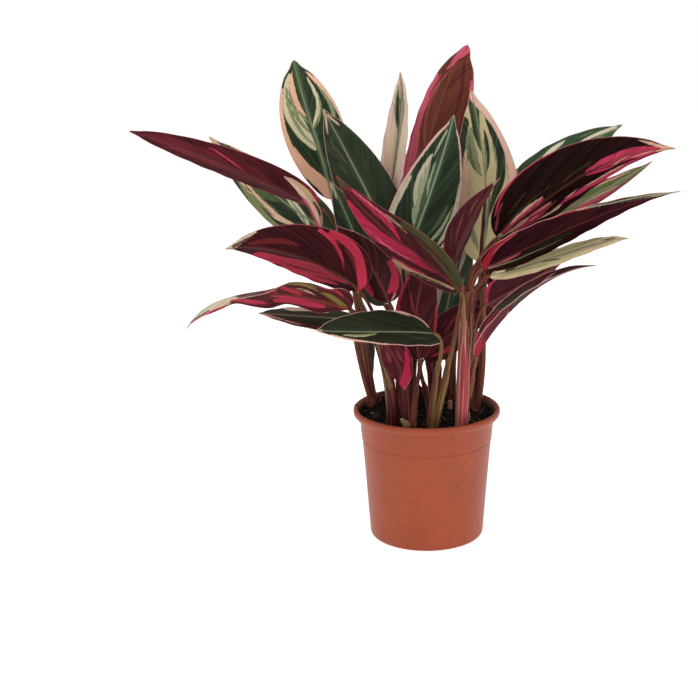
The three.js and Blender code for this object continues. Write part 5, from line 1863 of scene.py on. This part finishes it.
# Bent strands of fibre lying on the soil.
def makeFibres():
    form = soilForm
    chance = random.Random(29)
    strands = []
    for i in range(form["fibres"]):
        radius = form["fibreRing"] * math.sqrt(chance.random())
        angle, heading = chance.uniform(0, 6.3), chance.uniform(0, 6.3)
        x, y = radius * math.cos(angle), radius * math.sin(angle)
        length, bend = chance.uniform(*form["fibreLength"]), chance.uniform(-1.4, 1.4)
        thick = chance.uniform(*form["fibreThick"])
        points = []
        for step in range(4):
            turn = heading + bend * step / 3
            points.append((x, y, crumblyHeight(x, y) + thick + chance.uniform(0, 1.5)))
            x, y = x + length / 3 * math.cos(turn), y + length / 3 * math.sin(turn)
            if math.hypot(x, y) > form["fibreRing"] + 1:
                break
        if len(points) < 4:
            continue
        frames = framesAlong(curveThrough(points), (0, 0, 1), 12)
        radiusAt = partial(fibreRadius, thick)
        strand = closedTube("strand", frames, length, radiusAt, i, 4, 9)
        strand.data.materials.append(fibreSkin)
        strands.append(strand)
    putOn(joinPieces("soilFibres", strands), "soil")


makeSoilBed()
makeCrumbs()
makeFibres()
print("soil ready")


# The cut stub of an old stalk.
stubForm = {
    "foot": (22, 14), "radius": 2.2, "height": 9, "depth": 5,
    "wood": (186, 124, 78), "dark": (128, 74, 46),
}


def stubFinish():
    material, tree, shader = newMaterial("cutStalk")
    place = objectPlace(tree)
    grain = speckle(tree, scaled(tree, place, (900, 900, 60)), 1, 2)
    colour = ease(tree, grain, 0.4, 0.62)
    colour = blendColour(tree, colour, tint(*stubForm["dark"]), tint(*stubForm["wood"]))
    fill(tree, shader, {"Base Color": colour, "Roughness": 0.75})
    roughen(tree, shader, grain, 0.6, 0.0004)
    return material


def makeStub():
    form = stubForm
    x, y = form["foot"]
    ground = soilHeight(x, y)
    low, high = ground - form["depth"], ground + form["height"]
    deselectAll()
    bpy.ops.mesh.primitive_cylinder_add(
        vertices=20, radius=form["radius"] * mm, depth=(high - low) * mm,
        location=(x * mm, y * mm, (low + high) / 2 * mm))
    stub = bpy.context.active_object
    stub.name = "cutStub"
    stub.data.name = "cutStub"
    bpy.ops.object.transform_apply(location=True, rotation=False, scale=False)
    bpy.ops.object.mode_set(mode="EDIT")
    bpy.ops.mesh.select_mode(type="FACE")
    bpy.ops.mesh.select_all(action="DESELECT")
    bpy.ops.object.mode_set(mode="OBJECT")
    for face in stub.data.polygons:
        face.select = face.normal.z > 0.9
    bpy.ops.object.mode_set(mode="EDIT")
    bpy.ops.mesh.inset(thickness=0.5 * mm)
    bpy.ops.transform.translate(value=(0, 0, -0.5 * mm))
    bpy.ops.mesh.inset(thickness=0.6 * mm)
    bpy.ops.transform.translate(value=(0, 0, 0.4 * mm))
    bpy.ops.object.mode_set(mode="OBJECT")
    applyModifier(stub, "BEVEL", width=0.18 * mm, segments=2, limit_method="ANGLE")
    for vertex in stub.data.vertices:
        share = (vertex.co.z / mm - low) / (high - low)
        lean = 0.7 * share**2
        vertex.co.x += (lean + 0.2 * noise.noise(vertex.co * 900)) * mm
        if share > 0.8:
            vertex.co.z += 0.25 * (vertex.co.x / mm - x) * mm
    stub.data.materials.append(stubFinish())
    smoothShading(stub, 40)
    putOn(stub, "stub")


makeStub()


# The camera, the lamps and the pale room.
studio = {
    "cameraAway": 1.150, "cameraHigh": 0.482, "pitch": 14.64, "focalPixels": 1259.3, "sensor": 36,
    "frameHigh": 700, "frameWide": 698, "axisColumn": 426.7,
    "skyLight": 0.5, "floorGlow": 0.6,
    "lamps": {
        "keyLamp": ((-0.9, -1.6, 1.7), (1.2, 1.2), 17),
        "fillLamp": ((1.4, -1.3, 0.9), (1.0, 1.4), 8),
        "topLamp": ((0.1, 0.3, 2.0), (1.6, 1.2), 12),
    },
}


def makeCamera():
    bpy.ops.object.camera_add(location=(0, -studio["cameraAway"], studio["cameraHigh"]))
    camera = bpy.context.active_object
    camera.name = "studioCamera"
    camera.rotation_euler = (math.radians(90 - studio["pitch"]), 0, 0)
    camera.data.sensor_width = studio["sensor"]
    camera.data.lens = studio["sensor"] * studio["focalPixels"] / studio["frameHigh"]
    camera.data.shift_x = (studio["frameWide"] / 2 - studio["axisColumn"]) / studio["frameHigh"]
    camera.data.clip_start = 0.05
    camera.data.clip_end = 50
    bpy.context.scene.camera = camera


def makeLamp(name, place, size, power, aim=(0, 0, 0.25)):
    bpy.ops.object.light_add(type="AREA", location=place)
    lamp = bpy.context.active_object
    lamp.name = name
    lamp.data.shape = "RECTANGLE"
    lamp.data.size, lamp.data.size_y = size
    lamp.data.energy = power
    lamp.rotation_euler = (Vector(place) - Vector(aim)).to_track_quat("Z", "Y").to_euler()


def makeStudio():
    deselectAll()
    bpy.ops.mesh.primitive_circle_add(vertices=96, radius=6, fill_type="NGON", location=(0, 0, 0))
    floor = bpy.context.active_object
    floor.name = "studioFloor"
    material, tree, shader = newMaterial("palePaper")
    white = (1, 1, 1, 1)
    fill(tree, shader, {"Base Color": tint(246, 246, 246), "Roughness": 0.9})
    fill(tree, shader, {"Emission Color": white, "Emission Strength": studio["floorGlow"]})
    floor.data.materials.append(material)
    world = bpy.data.worlds.new("studioWorld")
    world.use_nodes = True
    tree = world.node_tree
    seen = addNode(tree, "ShaderNodeLightPath").outputs["Is Camera Ray"]
    strength = calculate(tree, "MULTIPLY_ADD", seen, 1 - studio["skyLight"], studio["skyLight"])
    fill(tree, tree.nodes["Background"], {"Color": white, "Strength": strength})
    bpy.context.scene.world = world
    for name, (place, size, power) in studio["lamps"].items():
        makeLamp(name, place, size, power)
    view = bpy.context.scene.view_settings
    view.view_transform = "Standard"
    view.look = "None"


makeCamera()
makeStudio()
print("studio ready")
